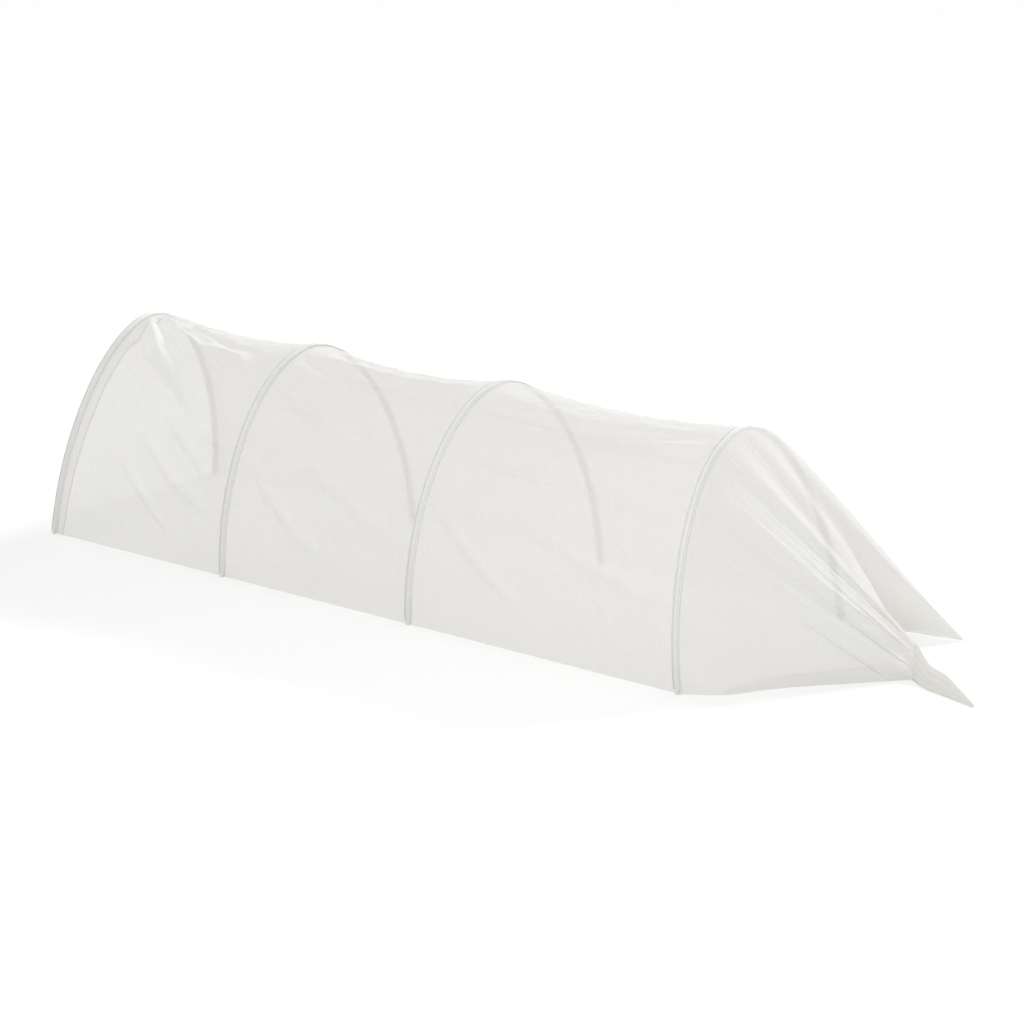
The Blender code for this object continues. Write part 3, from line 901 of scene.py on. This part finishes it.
def mesh_piece(
    name: str, points: np.ndarray, faces: list[tuple[int, ...]], uv: np.ndarray | None
) -> Object:
    """Make a smooth mesh piece.

    Args:
        name: Name of the piece.
        points: Its vertices.
        faces: Vertex numbers of each face.
        uv: Place of each vertex on the flat cloth, in metres.

    Returns:
        The new object.
    """
    mesh = bpy.data.meshes.new(name)
    mesh.from_pydata([tuple(point) for point in points], [], faces)
    mesh.shade_smooth()
    if uv is not None:
        lay_cloth_map(mesh, uv)
    return add_object(name, mesh)


def sheet_piece(name: str, grid: Grid, across: Grid, along: Grid) -> Object:
    """Make an open sheet of cloth from a grid of points.

    Args:
        name: Name of the piece.
        grid: Points in rows.
        across: Length round the cloth of each point, in metres.
        along: Length along the cloth of each point, in metres.

    Returns:
        The new object, facing outwards.
    """
    rows, columns = grid.shape[:2]
    number = np.arange(rows * columns).reshape(rows, columns)
    quads = np.stack(
        [number[:-1, :-1], number[1:, :-1], number[1:, 1:], number[:-1, 1:]], axis=-1
    ).reshape(-1, 4)
    uv = np.stack([across, along], axis=-1).reshape(-1, 2)
    return mesh_piece(name, grid.reshape(-1, 3), [tuple(quad) for quad in quads.tolist()], uv)


def mesh_area(piece: Object) -> float:
    """Area of a piece's faces."""
    return sum(face.area for face in piece.data.polygons)


def row_length(points: Grid) -> float:
    """Length of a row of points."""
    return float(np.linalg.norm(np.diff(points, axis=0), axis=-1).sum())


def clean_mesh(piece: Object, cut_low: bool = False) -> None:
    """Weld a swept tube and turn its faces outwards.

    Args:
        piece: The tube.
        cut_low: True to cut it flat at ground level and close the cuts.
    """
    shape = bmesh.new()
    shape.from_mesh(piece.data)
    bmesh.ops.remove_doubles(shape, verts=shape.verts, dist=1e-6)
    if cut_low:
        cut = bmesh.ops.bisect_plane(
            shape,
            geom=[*shape.verts, *shape.edges, *shape.faces],
            plane_co=(0, 0, 0),
            plane_no=(0, 0, 1),
            clear_inner=True,
        )
        edges = [part for part in cut["geom_cut"] if isinstance(part, bmesh.types.BMEdge)]
        bmesh.ops.holes_fill(shape, edges=edges)
    bmesh.ops.recalc_face_normals(shape, faces=shape.faces)
    shape.to_mesh(piece.data)
    shape.free()


def join_pieces(name: str, pieces: Sequence[Object]) -> Object:
    """Join mesh pieces into one new piece.

    Args:
        name: Name of the joined piece.
        pieces: The pieces, which are removed.

    Returns:
        The joined piece.
    """
    shape = bmesh.new()
    for piece in pieces:
        shape.from_mesh(piece.data)
    mesh = bpy.data.meshes.new(name)
    for material in pieces[0].data.materials:
        mesh.materials.append(material)
    shape.to_mesh(mesh)
    shape.free()
    mesh.shade_smooth()
    for piece in pieces:
        bpy.data.objects.remove(piece, do_unlink=True)
    return add_object(name, mesh)


def run_nodes(host: Object, tree: NodeTree, values: dict[str, Any]) -> Object:
    """Put a Geometry Nodes tree on an object and keep what it makes as a plain mesh.

    Args:
        host: The object that the tree works on, which is removed.
        tree: The tree.
        values: Input name and value.

    Returns:
        The resulting plain mesh object, with the host's name.
    """
    modifier = host.modifiers.new(tree.name, "NODES")
    modifier.node_group = tree
    sockets = {item.name: item.identifier for item in tree.interface.items_tree}
    for label, value in values.items():
        modifier[sockets[label]] = value
    bpy.context.view_layer.update()
    graph = bpy.context.evaluated_depsgraph_get()
    mesh = bpy.data.meshes.new_from_object(host.evaluated_get(graph), depsgraph=graph)
    name = host.name
    bpy.data.objects.remove(host, do_unlink=True)
    mesh.shade_smooth()
    return add_object(name, mesh)


def path_object(name: str, points: Sequence[Sequence[float]], closed: bool) -> Object:
    """A curve object along points.

    Args:
        name: Name of the object.
        points: The points.
        closed: True for a ring.

    Returns:
        The curve object.
    """
    curve = bpy.data.curves.new(name, "CURVE")
    curve.dimensions = "3D"
    spline = curve.splines.new("POLY")
    spline.points.add(len(points) - 1)
    for place, point in zip(spline.points, points):
        place.co = (*point, 1.0)
    spline.use_cyclic_u = closed
    return add_object(name, curve)


def new_geometry_tree(name: str, inputs: dict[str, str]) -> NodeTree:
    """An empty Geometry Nodes tree with named inputs and a geometry output.

    Args:
        name: Name of the tree.
        inputs: Name and kind of each input, such as Float.

    Returns:
        The tree.
    """
    tree = bpy.data.node_groups.new(name, "GeometryNodeTree")
    tree.interface.new_socket("Geometry", in_out="OUTPUT", socket_type="NodeSocketGeometry")
    for label, kind in {"Geometry": "Geometry", **inputs}.items():
        tree.interface.new_socket(label, in_out="INPUT", socket_type=f"NodeSocket{kind}")
    return tree


def arch_tree() -> NodeTree:
    """Geometry Nodes that sweep a profile round the arch of one hoop.

    Returns:
        The tree. Its foot share starts the sweep that share of the way up each leg.
    """
    numbers = ("Height", "Half Width", "Power", "Station", "Lean", "Turn", "Foot Share")
    others = {"Steps": "Int", "Shift": "Vector", "Profile": "Object", "Material": "Material"}
    tree = new_geometry_tree("sweep_round_hoop", {**dict.fromkeys(numbers, "Float"), **others})
    given = add_node(tree, "NodeGroupInput").outputs
    line = add_node(tree, "GeometryNodeCurvePrimitiveLine")
    fine = add_node(tree, "GeometryNodeResampleCurve", {"Curve": line, "Count": given["Steps"]})
    foot = given["Foot Share"]
    ends = {
        "Value": add_node(tree, "GeometryNodeSplineParameter").outputs["Factor"],
        "To Min": foot,
        "To Max": add_node(tree, "ShaderNodeMath", {0: 1.0, 1: foot}, operation="SUBTRACT"),
    }
    known: dict[Any, Any] = {label: given[label] for label in numbers}
    known["share"] = add_node(tree, "ShaderNodeMapRange", ends, clamp=False)
    # Each row is one sum: the name of its result, the operation and what it works on.
    for result, operation, *terms in (
        ("angle", "MULTIPLY", "share", math.pi),
        ("cosine", "COSINE", "angle"),
        ("level", "ABSOLUTE", "cosine"),
        ("level bent", "POWER", "level", "Power"),
        ("side", "SIGN", "cosine"),
        ("sideways", "MULTIPLY", "level bent", "side"),
        ("sine", "SINE", "angle"),
        ("rise", "ABSOLUTE", "sine"),
        ("rise bent", "POWER", "rise", "Power"),
        ("above", "SIGN", "sine"),
        ("upwards", "MULTIPLY", "rise bent", "above"),
        ("width", "MULTIPLY", "Half Width", -1.0),
        ("y", "MULTIPLY", "sideways", "width"),
        ("z", "MULTIPLY", "upwards", "Height"),
        ("leaning", "MULTIPLY_ADD", "z", "Lean", "Station"),
        ("x", "MULTIPLY_ADD", "y", "Turn", "leaning"),
    ):
        values = {place: known.get(term, term) for place, term in enumerate(terms)}
        known[result] = add_node(tree, "ShaderNodeMath", values, operation=operation)
    point = add_node(
        tree, "ShaderNodeCombineXYZ", {place: known[axis] for place, axis in enumerate("xyz")}
    )
    placed = add_node(tree, "ShaderNodeVectorMath", {0: point, 1: given["Shift"]}, operation="ADD")
    bent = add_node(tree, "GeometryNodeSetPosition", {"Geometry": fine, "Position": placed})
    upright = add_node(
        tree,
        "GeometryNodeSetCurveNormal",
        {"Curve": bent, "Normal": (1.0, 0.0, 0.0)},
        mode="FREE",
    )
    profile = add_node(tree, "GeometryNodeObjectInfo", {"Object": given["Profile"]})
    section = {"Curve": upright, "Profile Curve": profile.outputs["Geometry"], "Fill Caps": True}
    dress_output(tree, add_node(tree, "GeometryNodeCurveToMesh", section), given)
    return tree


def dress_output(tree: NodeTree, made: Node, given: Any) -> None:
    """End a Geometry Nodes tree: what it made as real faces, in the material that it is given.

    Args:
        tree: The tree.
        made: The node whose geometry is put out.
        given: The tree's own inputs.
    """
    real = add_node(tree, "GeometryNodeRealizeInstances", {"Geometry": made})
    finish = {"Geometry": real, "Material": given["Material"]}
    dressed = add_node(tree, "GeometryNodeSetMaterial", finish)
    add_node(tree, "NodeGroupOutput", {0: dressed})


def stitch_tree() -> NodeTree:
    """Geometry Nodes that lay a row of stitches along a curve.

    Returns:
        The tree, with the pitch, length and width of a stitch as inputs.
    """
    numbers = ("Pitch", "Stitch Length", "Thread Width")
    inputs = {**dict.fromkeys(numbers, "Float"), "Material": "Material"}
    tree = new_geometry_tree("stitches_along_seam", inputs)
    given = add_node(tree, "NodeGroupInput").outputs
    places = add_node(
        tree,
        "GeometryNodeCurveToPoints",
        {"Curve": given["Geometry"], "Length": given["Pitch"]},
        mode="LENGTH",
    )
    facing = add_node(
        tree,
        "FunctionNodeAlignRotationToVector",
        {"Vector": places.outputs["Tangent"]},
        axis="Z",
    )
    bead = add_node(tree, "GeometryNodeMeshUVSphere", {"Segments": 6, "Rings": 5, "Radius": 0.5})
    thick = given["Thread Width"]
    size = add_node(tree, "ShaderNodeCombineXYZ", {0: thick, 1: thick, 2: given["Stitch Length"]})
    row = {"Points": places, "Instance": bead, "Rotation": facing, "Scale": size}
    dress_output(tree, add_node(tree, "GeometryNodeInstanceOnPoints", row), given)
    return tree


# Sub-assemblies


def dress(piece: Object, finish: Material | None, body: str, node: str | None) -> None:
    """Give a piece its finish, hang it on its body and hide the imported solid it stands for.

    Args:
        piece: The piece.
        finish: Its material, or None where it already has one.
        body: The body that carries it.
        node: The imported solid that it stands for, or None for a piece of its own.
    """
    if finish is not None:
        piece.data.materials.append(finish)
    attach(piece, body)
    if node is not None:
        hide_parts(node)
    LOG.info("%s: %d faces", piece.name, len(piece.data.polygons))


def cut_area(piece: Object, length: float) -> float:
    """Area of cloth in a panel: its own, kept between a least share of its flat cut and all.

    Args:
        piece: The panel.
        length: Length of the flat cut along the tunnel.

    Returns:
        The area in square metres.
    """
    least_share = 0.31
    cut = SHAPE.arch_length * length
    return min(cut, max(least_share * cut, mesh_area(piece)))


@dataclass
class Seamstress:
    """Lays stitching along seams."""

    thread: Material
    tree: NodeTree = field(default_factory=stitch_tree)
    pitch: float = 0.0042
    stitch_length: float = 0.0034
    thread_width: float = 0.0007

    def sew(self, name: str, rows: Sequence[Grid], body: str) -> None:
        """Sew rows of stitches and hang them on a body.

        Args:
            name: Name of the stitching piece.
            rows: Points along each row.
            body: The body that carries it.
        """
        values = {
            "Pitch": self.pitch,
            "Stitch Length": self.stitch_length,
            "Thread Width": self.thread_width,
            "Material": self.thread,
        }
        made = [
            run_nodes(path_object(f"{name}_row_{order}", row.tolist(), False), self.tree, values)
            for order, row in enumerate(rows)
        ]
        dress(join_pieces(name, made), None, body, None)


@dataclass
class Hoops:
    """The bent rods, and the channels sewn round them."""

    rod_finish: Material
    channel_finish: Material
    seamstress: Seamstress
    tree: NodeTree = field(default_factory=arch_tree)
    steps: int = 181
    rod_sides: int = 20
    rod_foot_share: float = -0.004
    channel_foot_share: float = 0.0078
    sleeve_half: float = 0.0078
    sleeve_height: float = 0.0047
    sleeve_points: int = 25
    flange: float = 0.0092
    flange_top: float = 0.0006
    flange_drop: float = 0.0002
    stitch_side: float = 0.0083
    stitch_height: float = 0.0008
    stitch_points: int = 241

    def swept(
        self, name: str, hoop: int, profile: Sequence[Row], foot: float, finish: Material
    ) -> Object:
        """Sweep a profile round one hoop.

        Args:
            name: Name of the piece.
            hoop: Number of the hoop.
            profile: Outline of the section, along the tunnel and outwards.
            foot: Share of the way up the leg where the sweep starts.
            finish: Its material.

        Returns:
            The piece.
        """
        outline = path_object(f"{name}_outline", [(a, b, 0.0) for a, b in profile], True)
        values = {
            "Height": SHAPE.hoop_height,
            "Half Width": SHAPE.hoop_width / 2,
            "Power": 2 / SHAPE.roundness,
            "Station": SHAPE.stations[hoop],
            "Lean": SHAPE.leans[hoop],
            "Turn": SHAPE.turns[hoop],
            "Foot Share": foot,
            "Steps": self.steps,
            "Shift": (*SHAPE.shift, 0.0),
            "Profile": outline,
            "Material": finish,
        }
        piece = run_nodes(add_object(name, bpy.data.meshes.new(name)), self.tree, values)
        bpy.data.objects.remove(outline, do_unlink=True)
        return piece

    def rod(self, hoop: int) -> None:
        """The bent rod of one hoop, cut flat at ground level."""
        turns = np.linspace(0, 2 * math.pi, self.rod_sides, endpoint=False)
        ring = [(SHAPE.rod_radius * math.cos(t), SHAPE.rod_radius * math.sin(t)) for t in turns]
        name = f"bent_rod_{hoop + 1}"
        piece = self.swept(name, hoop, ring, self.rod_foot_share, self.rod_finish)
        clean_mesh(piece, cut_low=True)
        dress(piece, None, Body.of_hoop(hoop), f"hoop_{hoop + 1}")

    def channel_outline(self) -> list[Row]:
        """Section of a channel: a sleeve drawn over the rod, with a sewn flange on each side."""
        places = np.linspace(1, -1, self.sleeve_points)
        heights = self.flange_top + (self.sleeve_height - self.flange_top) * (
            np.cos(np.pi / 2 * places) ** 2
        )
        sleeve = list(zip((self.sleeve_half * places).tolist(), heights.tolist()))
        upper = self.flange_top - self.flange_drop
        return [
            (self.flange, self.flange_drop),
            (self.flange, upper),
            *sleeve,
            (-self.flange, upper),
            (-self.flange, self.flange_drop),
        ]

    def channel(self, hoop: int) -> None:
        """The sewn channel of one hoop."""
        name = f"sewn_channel_{hoop + 1}"
        foot, finish = self.channel_foot_share, self.channel_finish
        piece = self.swept(name, hoop, self.channel_outline(), foot, finish)
        clean_mesh(piece)
        places = np.empty(len(piece.data.vertices) * 3, dtype=np.float32)
        piece.data.vertices.foreach_get("co", places)
        x, y, z = places.reshape(-1, 3).T
        turn = np.arctan2(z, y - SHAPE.shift[1])
        up_the_arch = turn / math.pi * SHAPE.arch_length
        lay_cloth_map(piece.data, np.stack([up_the_arch, x * 2], axis=-1))
        dress(piece, None, Body.of_hoop(hoop), f"channel_{hoop + 1}")
        strip = mesh_area(piece) / 2 / SHAPE.arch_length
        SHAPE.arch_length

    def stitch_rows(self, hoop: int) -> list[Grid]:
        """The two lines of stitching beside a channel."""
        foot = self.channel_foot_share
        y, z, out_y, out_z = SHAPE.arch(np.linspace(foot, 1 - foot, self.stitch_points))
        x = SHAPE.along(hoop, y, z)
        y, z = y + self.stitch_height * out_y, z + self.stitch_height * out_z
        return [SHAPE.placed(x + side, y, z) for side in (-self.stitch_side, self.stitch_side)]

    def build(self) -> None:
        """Build all the rods, channels and their stitching."""
        for hoop in range(len(SHAPE.stations)):
            self.rod(hoop)
            self.channel(hoop)
            name = f"channel_stitching_{hoop + 1}"
            self.seamstress.sew(name, self.stitch_rows(hoop), Body.of_hoop(hoop))


@dataclass
class Cover:
    """The fleece between the hoops, in bands that stay with a hoop and bays that fold."""

    fleece: Material
    doubled: Material
    seamstress: Seamstress
    columns: int = 300
    row_length: float = 0.0042
    folded_bay: float = 0.0205
    groove_floor: float = 0.003
    groove_lip: float = 0.0003
    wall_rows: int = 4
    hem_reach: float = 0.040
    hem_foot_share: float = 0.75
    hem_power: float = 0.8
    hem_gap: float = 0.0006
    hem_turn_rows: int = 7
    hem_rows: int = 10
    hem_inside: float = 0.0086
    hem_least: float = 0.0088
    stitch_inset: float = 0.003
    stitch_least: float = 0.0087
    stitch_height: float = 0.0003

    def shares(self) -> Grid:
        """Places of the cloth's columns, as shares of the way round the arch."""
        return np.linspace(0, 1, self.columns + 1)

    def panel(
        self,
        name: str,
        sheet: tuple[Grid, Grid, Grid],
        body: str,
        node: str,
        length: float,
        rests: Sequence[str],
    ) -> Object:
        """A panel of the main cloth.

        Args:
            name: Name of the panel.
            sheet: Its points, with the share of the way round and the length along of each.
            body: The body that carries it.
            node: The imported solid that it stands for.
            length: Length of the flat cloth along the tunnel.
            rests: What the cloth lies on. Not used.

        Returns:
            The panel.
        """
        points, around, along = sheet
        piece = sheet_piece(name, points, around * SHAPE.arch_length, along)
        dress(piece, self.fleece, body, node)
        SHAPE.arch_length
        cut_area(piece, length)
        return piece

    def bay(self, bay: int) -> None:
        """The loose cloth of one bay, which folds up as its hoops come together."""
        low, high = SHAPE.fold_start(bay), SHAPE.fold_end(bay + 1)
        steps = max(3, round((high - low) / self.row_length))
        around, lengthwise = np.meshgrid(self.shares(), np.linspace(low, high, steps + 1))
        piece = self.panel(
            f"fleece_bay_{bay + 1}",
            (SHAPE.bay(bay, lengthwise, around), around, lengthwise),
            Body.of_hoop(bay),
            f"cover_bay_{bay + 1}",
            high - low,
            [f"fleece_band_{bay + 1}", f"fleece_band_{bay + 2}"],
        )
        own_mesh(piece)

    def groove_places(self, depth: float = 0.0) -> Grid:
        """Rows of points across the groove below a channel, from edge to edge."""
        inner, outer = SHAPE.groove_half + depth, SHAPE.groove_reach + depth
        wall = np.linspace(outer + self.groove_lip, inner, self.wall_rows)
        floor = [-self.groove_floor, 0, self.groove_floor]
        return np.concatenate([-wall, floor, wall[::-1]])

    def rows_to(self, reach: Grid) -> int:
        """How many rows of faces a stretch of a band gets."""
        return max(1, round(float(reach.max()) / self.row_length))

    def band(self, hoop: int) -> None:
        """The band of cloth that stays with one hoop."""
        share = self.shares()
        seam = SHAPE.seam_x(hoop, share)
        groove = self.groove_places()
        parts = []
        before = max(0, hoop - 1)
        low = SHAPE.front_edge(share) if hoop == 0 else np.full_like(share, SHAPE.fold_end(hoop))
        for step in np.linspace(0, 1, self.rows_to(seam - low), endpoint=False):
            parts.append((before, low + (seam + groove[0] - low) * step))
        for place in groove:
            parts.append((before if place < 0 else min(hoop, SHAPE.last - 1), seam + place))
        if hoop < SHAPE.last:
            high = np.full_like(share, SHAPE.fold_start(hoop))
            for step in np.linspace(0, 1, self.rows_to(high - seam) + 1)[1:]:
                parts.append((hoop, seam + groove[-1] + (high - seam - groove[-1]) * step))
        else:
            parts.append((hoop - 1, seam + SHAPE.groove_reach + SHAPE.seam_gap / 2))
        points = np.stack([SHAPE.bay(bay, x, share) for bay, x in parts])
        lengthwise = np.stack([x for _, x in parts])
        self.panel(
            f"fleece_band_{hoop + 1}",
            (points, np.broadcast_to(share, lengthwise.shape), lengthwise),
            Body.of_hoop(hoop),
            f"cover_arch_{hoop + 1}",
            float((lengthwise[-1] - lengthwise[0]).max()),
            [f"sewn_channel_{hoop + 1}"],
        )

    def hem_width(self, share: Grid) -> Grid:
        """Width of the turned-in front hem, a little narrower at the feet."""
        foot = self.hem_foot_share
        return self.hem_reach * (foot + (1 - foot) * np.sin(np.pi * share) ** self.hem_power)

    def front_hem(self) -> None:
        """The front edge of the cloth, folded round and sewn down inside."""
        share = self.shares()
        edge, gap = SHAPE.front_edge(share), self.hem_gap
        rows = []
        for turn in np.linspace(0, math.pi, self.hem_turn_rows):
            depth = gap * (1 - math.cos(turn))
            rows.append((edge - gap * math.sin(turn), depth))
        width = SHAPE.front_overhang + self.hem_width(share)
        seam = SHAPE.seam_x(0, share, 2 * gap)
        for place in self.groove_places(2 * gap):
            rows.append((seam + place, 2 * gap))
        inside = self.hem_inside
        finish = np.maximum(edge + width, seam + self.hem_least)
        for step in np.linspace(0, 1, self.hem_rows)[1:]:
            rows.append((seam + inside + (finish - seam - inside) * step, 2 * gap))
        grid = np.stack([SHAPE.bay(0, x, share, depth) for x, depth in rows])
        along = np.cumsum(np.linalg.norm(np.diff(grid, axis=0, prepend=grid[:1]), axis=-1), axis=0)
        around = np.broadcast_to(share, along.shape) * SHAPE.arch_length
        piece = sheet_piece("turned_front_hem", grid[:, ::-1], around[:, ::-1], along[:, ::-1])
        dress(piece, self.doubled, Body.FRONT.value, "front_hem")
        SHAPE.arch_length
        mesh_area(piece) / SHAPE.arch_length
        # This row is sewn in the darker grey thread, which also stands in for painted shade along
        # the hem's turned edge.
        line = np.maximum(finish - self.stitch_inset, seam + self.stitch_least)
        stitches = SHAPE.bay(0, line, share, -self.stitch_height)
        self.seamstress.sew("front_hem_stitching", [stitches], Body.FRONT.value)

    def build(self) -> None:
        """Build the bands, the bays and the front hem."""
        for hoop in range(len(SHAPE.stations)):
            self.band(hoop)
        for bay in range(SHAPE.last):
            self.bay(bay)
        self.front_hem()


@dataclass
class GatheredEnd:
    """The cloth beyond the last hoop: end panel, ground hem and gathered tail."""

    fleece: Material
    doubled: Material
    bunched: Material
    seamstress: Seamstress
    rows: int = 130
    near_columns: int = 64
    pleated_columns: int = 330
    far_columns: int = 180
    pleated_from: float = 0.19
    pleated_to: float = 0.45
    flat_length: float = 0.60
    mapped_length: float = 0.5
    hem_from: float = 0.05
    hem_columns: int = 90
    hem_rows: int = 9
    hem_depth: float = 0.0010
    hem_taper_from: float = 0.03
    least_fall: float = 0.01
    stitch_inset: float = 0.003
    stitch_height: float = 0.0004
    tail_columns: int = 90
    tail_rows: int = 60
    tail_flat_step: int = 6
    tail_map: Row = (0.3, 2.0, 0.4)

    def hem_top(self, share: Grid) -> Grid:
        """How far down the end panel its ground hem starts."""
        mouth, taper = SHAPE.near_hem[-1][0], self.hem_taper_from
        step = np.clip((share - taper) / (mouth - taper), 0, 1)
        start = SHAPE.last_seam(share)
        ground = np.array([SHAPE.end_ground(one, False) for one in share])
        length = np.maximum(self.least_fall, np.linalg.norm(ground - start, axis=-1))
        return 1 - SHAPE.end_hem_height * step * (2 - step) / length

    def shares(self) -> Grid:
        """Places of the end panel's columns, closer together where the cloth is pleated."""
        low, high = self.pleated_from, self.pleated_to
        return np.concatenate(
            [
                np.linspace(0, low, self.near_columns, endpoint=False),
                np.linspace(low, high, self.pleated_columns, endpoint=False),
                np.linspace(high, 1, self.far_columns),
            ]
        )

    def panel(self) -> None:
        """The sloping end panel."""
        around, fall = np.meshgrid(self.shares(), np.linspace(0, 1, self.rows + 1))
        grid = SHAPE.end(around[0], fall)
        along = SHAPE.stations[SHAPE.last] + fall * self.mapped_length
        piece = sheet_piece("fleece_end", grid, around * SHAPE.arch_length, along)
        dress(piece, self.fleece, Body.REAR.value, "cover_end")
        SHAPE.arch_length
        cut_area(piece, self.flat_length)

    def ground_hem(self) -> None:
        """The folded hem along the ground beside the gather."""
        share = np.linspace(self.hem_from, SHAPE.near_hem[-1][0], self.hem_columns)
        top = self.hem_top(share)
        steps = np.linspace(0, 1, self.hem_rows)[:, None]
        grid = SHAPE.end(share, top + (1 - top) * steps, self.hem_depth)
        around = np.broadcast_to(share, grid.shape[:2]) * SHAPE.arch_length
        along = np.broadcast_to(steps * SHAPE.end_hem_height, grid.shape[:2])
        piece = sheet_piece("turned_ground_hem", grid, around, along)
        dress(piece, self.doubled, Body.REAR.value, "end_hem")
        inset = self.stitch_inset / SHAPE.tail_reach
        row = SHAPE.end(share, top + inset, -self.stitch_height)
        self.seamstress.sew("ground_hem_stitching", [row], Body.REAR.value)

    def tail(self) -> None:
        """The gathered tail, pleated above and flat below."""
        across = np.linspace(0, 1, self.tail_columns + 1)
        stations = np.linspace(0, 1, self.tail_rows + 1)
        shift = np.array([*SHAPE.shift, 0.0])
        rings = []
        for one in stations:
            flat = SHAPE.tail_point(one, across[-2 : 0 : -self.tail_flat_step]) + shift
            flat[:, 2] = SHAPE.hem_lift / 2
            rings.append(np.concatenate([SHAPE.tail_point(one, across) + shift, flat]))
        count = len(rings[0])
        faces: list[tuple[int, ...]] = []
        for low in range(0, self.tail_rows * count, count):
            for step in range(count):
                following = (step + 1) % count
                high = low + count
                faces.append((low + step, high + step, high + following, low + following))
        faces.append(tuple(range(count)))
        faces.append(tuple(reversed(range(self.tail_rows * count, (self.tail_rows + 1) * count))))
        width, start, packing = self.tail_map
        round_the_bunch = np.linspace(0, width, count)
        uv = []
        for one in stations:
            down = np.full(count, start + SHAPE.tail_reach * one * packing)
            uv.append(np.stack([round_the_bunch, down], axis=-1))
        piece = mesh_piece("gathered_tail", np.concatenate(rings), faces, np.concatenate(uv))
        dress(piece, self.bunched, Body.REAR.value, "cover_tail")

    def build(self) -> None:
        """Build the end panel, its hem and the tail."""
        self.panel()
        self.ground_hem()
        self.tail()


class LampKind(Enum):
    """Kinds of lamp in the studio."""

    SUN = "SUN"
    AREA = "AREA"


@dataclass(frozen=True)
class Lamp:
    """A lamp: its strength, how large it is, and where it stands or shines from."""

    name: str
    kind: LampKind
    strength: float
    size: float
    place: Row


@dataclass
class Studio:
    """Pale floor, soft light and the camera of the photograph."""

    floor_size: float = 60.0
    sky_strength: float = 0.63
    lamps: tuple[Lamp, ...] = (
        Lamp("open_end_lamp", LampKind.SUN, 0.25, 0.30, (-0.70, 0.20, 0.60)),
        Lamp("back_lamp", LampKind.SUN, 1.70, 0.30, (0.15, 1.00, 0.50)),
        Lamp("side_lamp", LampKind.AREA, 29.0, 1.20, (1.20, -2.40, 2.60)),
    )
    lamp_aim: Row = (0.10, -0.10, 0.20)
    camera_place: Row = (4.06645, -4.95146, 1.98992)
    camera_target: Row = (1.18303, -1.43725, 0.69823)
    lens: float = 114.635
    sensor_width: float = 36.0
    farthest: float = 200.0

    def floor(self) -> None:
        """A wide white floor that keeps the tunnel's shadow and is white to the camera."""
        half = self.floor_size / 2
        points = np.array([(-half, -half, 0), (half, -half, 0), (half, half, 0), (-half, half, 0)])
        floor = mesh_piece("studio_floor", points, [(0, 1, 2, 3)], None)
        floor.data.materials.append(FloorFinish().make())

    def light(self) -> None:
        """An even pale sky, and lamps from the open end, from behind and from the near side.

        The lamp from behind shines through the cloth towards the camera.
        """
        world = bpy.data.worlds.new("studio_sky")
        bpy.context.scene.world = world
        tree = clear_tree(world)
        even, white = (
            add_node(tree, "ShaderNodeBackground", {"Color": WHITE, "Strength": strength})
            for strength in (self.sky_strength, 1.0)
        )
        both = add_node(tree, "ShaderNodeMixShader", {0: seen_rays(tree), 1: even, 2: white})
        add_node(tree, "ShaderNodeOutputWorld", {"Surface": both})
        for lamp in self.lamps:
            light = bpy.data.lights.new(lamp.name, lamp.kind.value)
            light.energy = lamp.strength
            facing = Vector(lamp.place)
            if lamp.kind is LampKind.SUN:
                light.angle = lamp.size
            else:
                light.shape = "DISK"
                light.size = lamp.size
                facing -= Vector(self.lamp_aim)
            holder = add_object(lamp.name, light)
            holder.rotation_euler = facing.to_track_quat("Z", "Y").to_euler()
            holder.location = lamp.place

    def camera(self) -> None:
        """The camera at the photograph's place and lens."""
        eye = bpy.data.cameras.new("photo_view")
        eye.sensor_width = self.sensor_width
        eye.lens = self.lens
        eye.clip_end = self.farthest
        holder = add_object("photo_view", eye)
        place, target = Vector(self.camera_place), Vector(self.camera_target)
        holder.location = place
        holder.rotation_euler = (target - place).to_track_quat("-Z", "Y").to_euler()
        bpy.context.scene.camera = holder

    def build(self) -> None:
        """Build the floor, the light and the camera."""
        self.floor()
        self.light()
        self.camera()
        bpy.context.scene.view_settings.view_transform = "Standard"


def main() -> None:
    """Build the tunnel, dress it and set it in the studio."""
    single = FleeceFinish("spunbonded_fleece").make()
    # A hem lies against the single cloth, so its own sheet shows less than the two together.
    doubled = FleeceFinish("doubled_fleece", cover=0.50, glow=0.50).make()
    # The sleeve is the same fleece, but its colour is lifted to near white: painted light that
    # brightens the shade falling on the channel's flanks.
    sleeve = FleeceFinish("sewn_fleece_sleeve", colour="#FEFDFB", cover=0.95, glow=0.02).make()
    bunched = FleeceFinish("gathered_fleece", cover=0.92, glow=0.35).make()
    thread = ThreadFinish().make()
    # The front hem's stitching is dark grey: partly the thread's own colour, partly painted shade
    # for the line along the hem's turned edge.
    hem_thread_and_shade = ThreadFinish("grey_polyester_thread", colour="#9C9A95").make()
    rod = CoatedRodFinish().make()
    seamstress = Seamstress(thread)
    Studio().build()
    Hoops(rod, sleeve, seamstress).build()
    Cover(single, doubled, Seamstress(hem_thread_and_shade)).build()
    GatheredEnd(single, doubled, bunched, seamstress).build()
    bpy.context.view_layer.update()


if __name__ == "__main__":
    main()
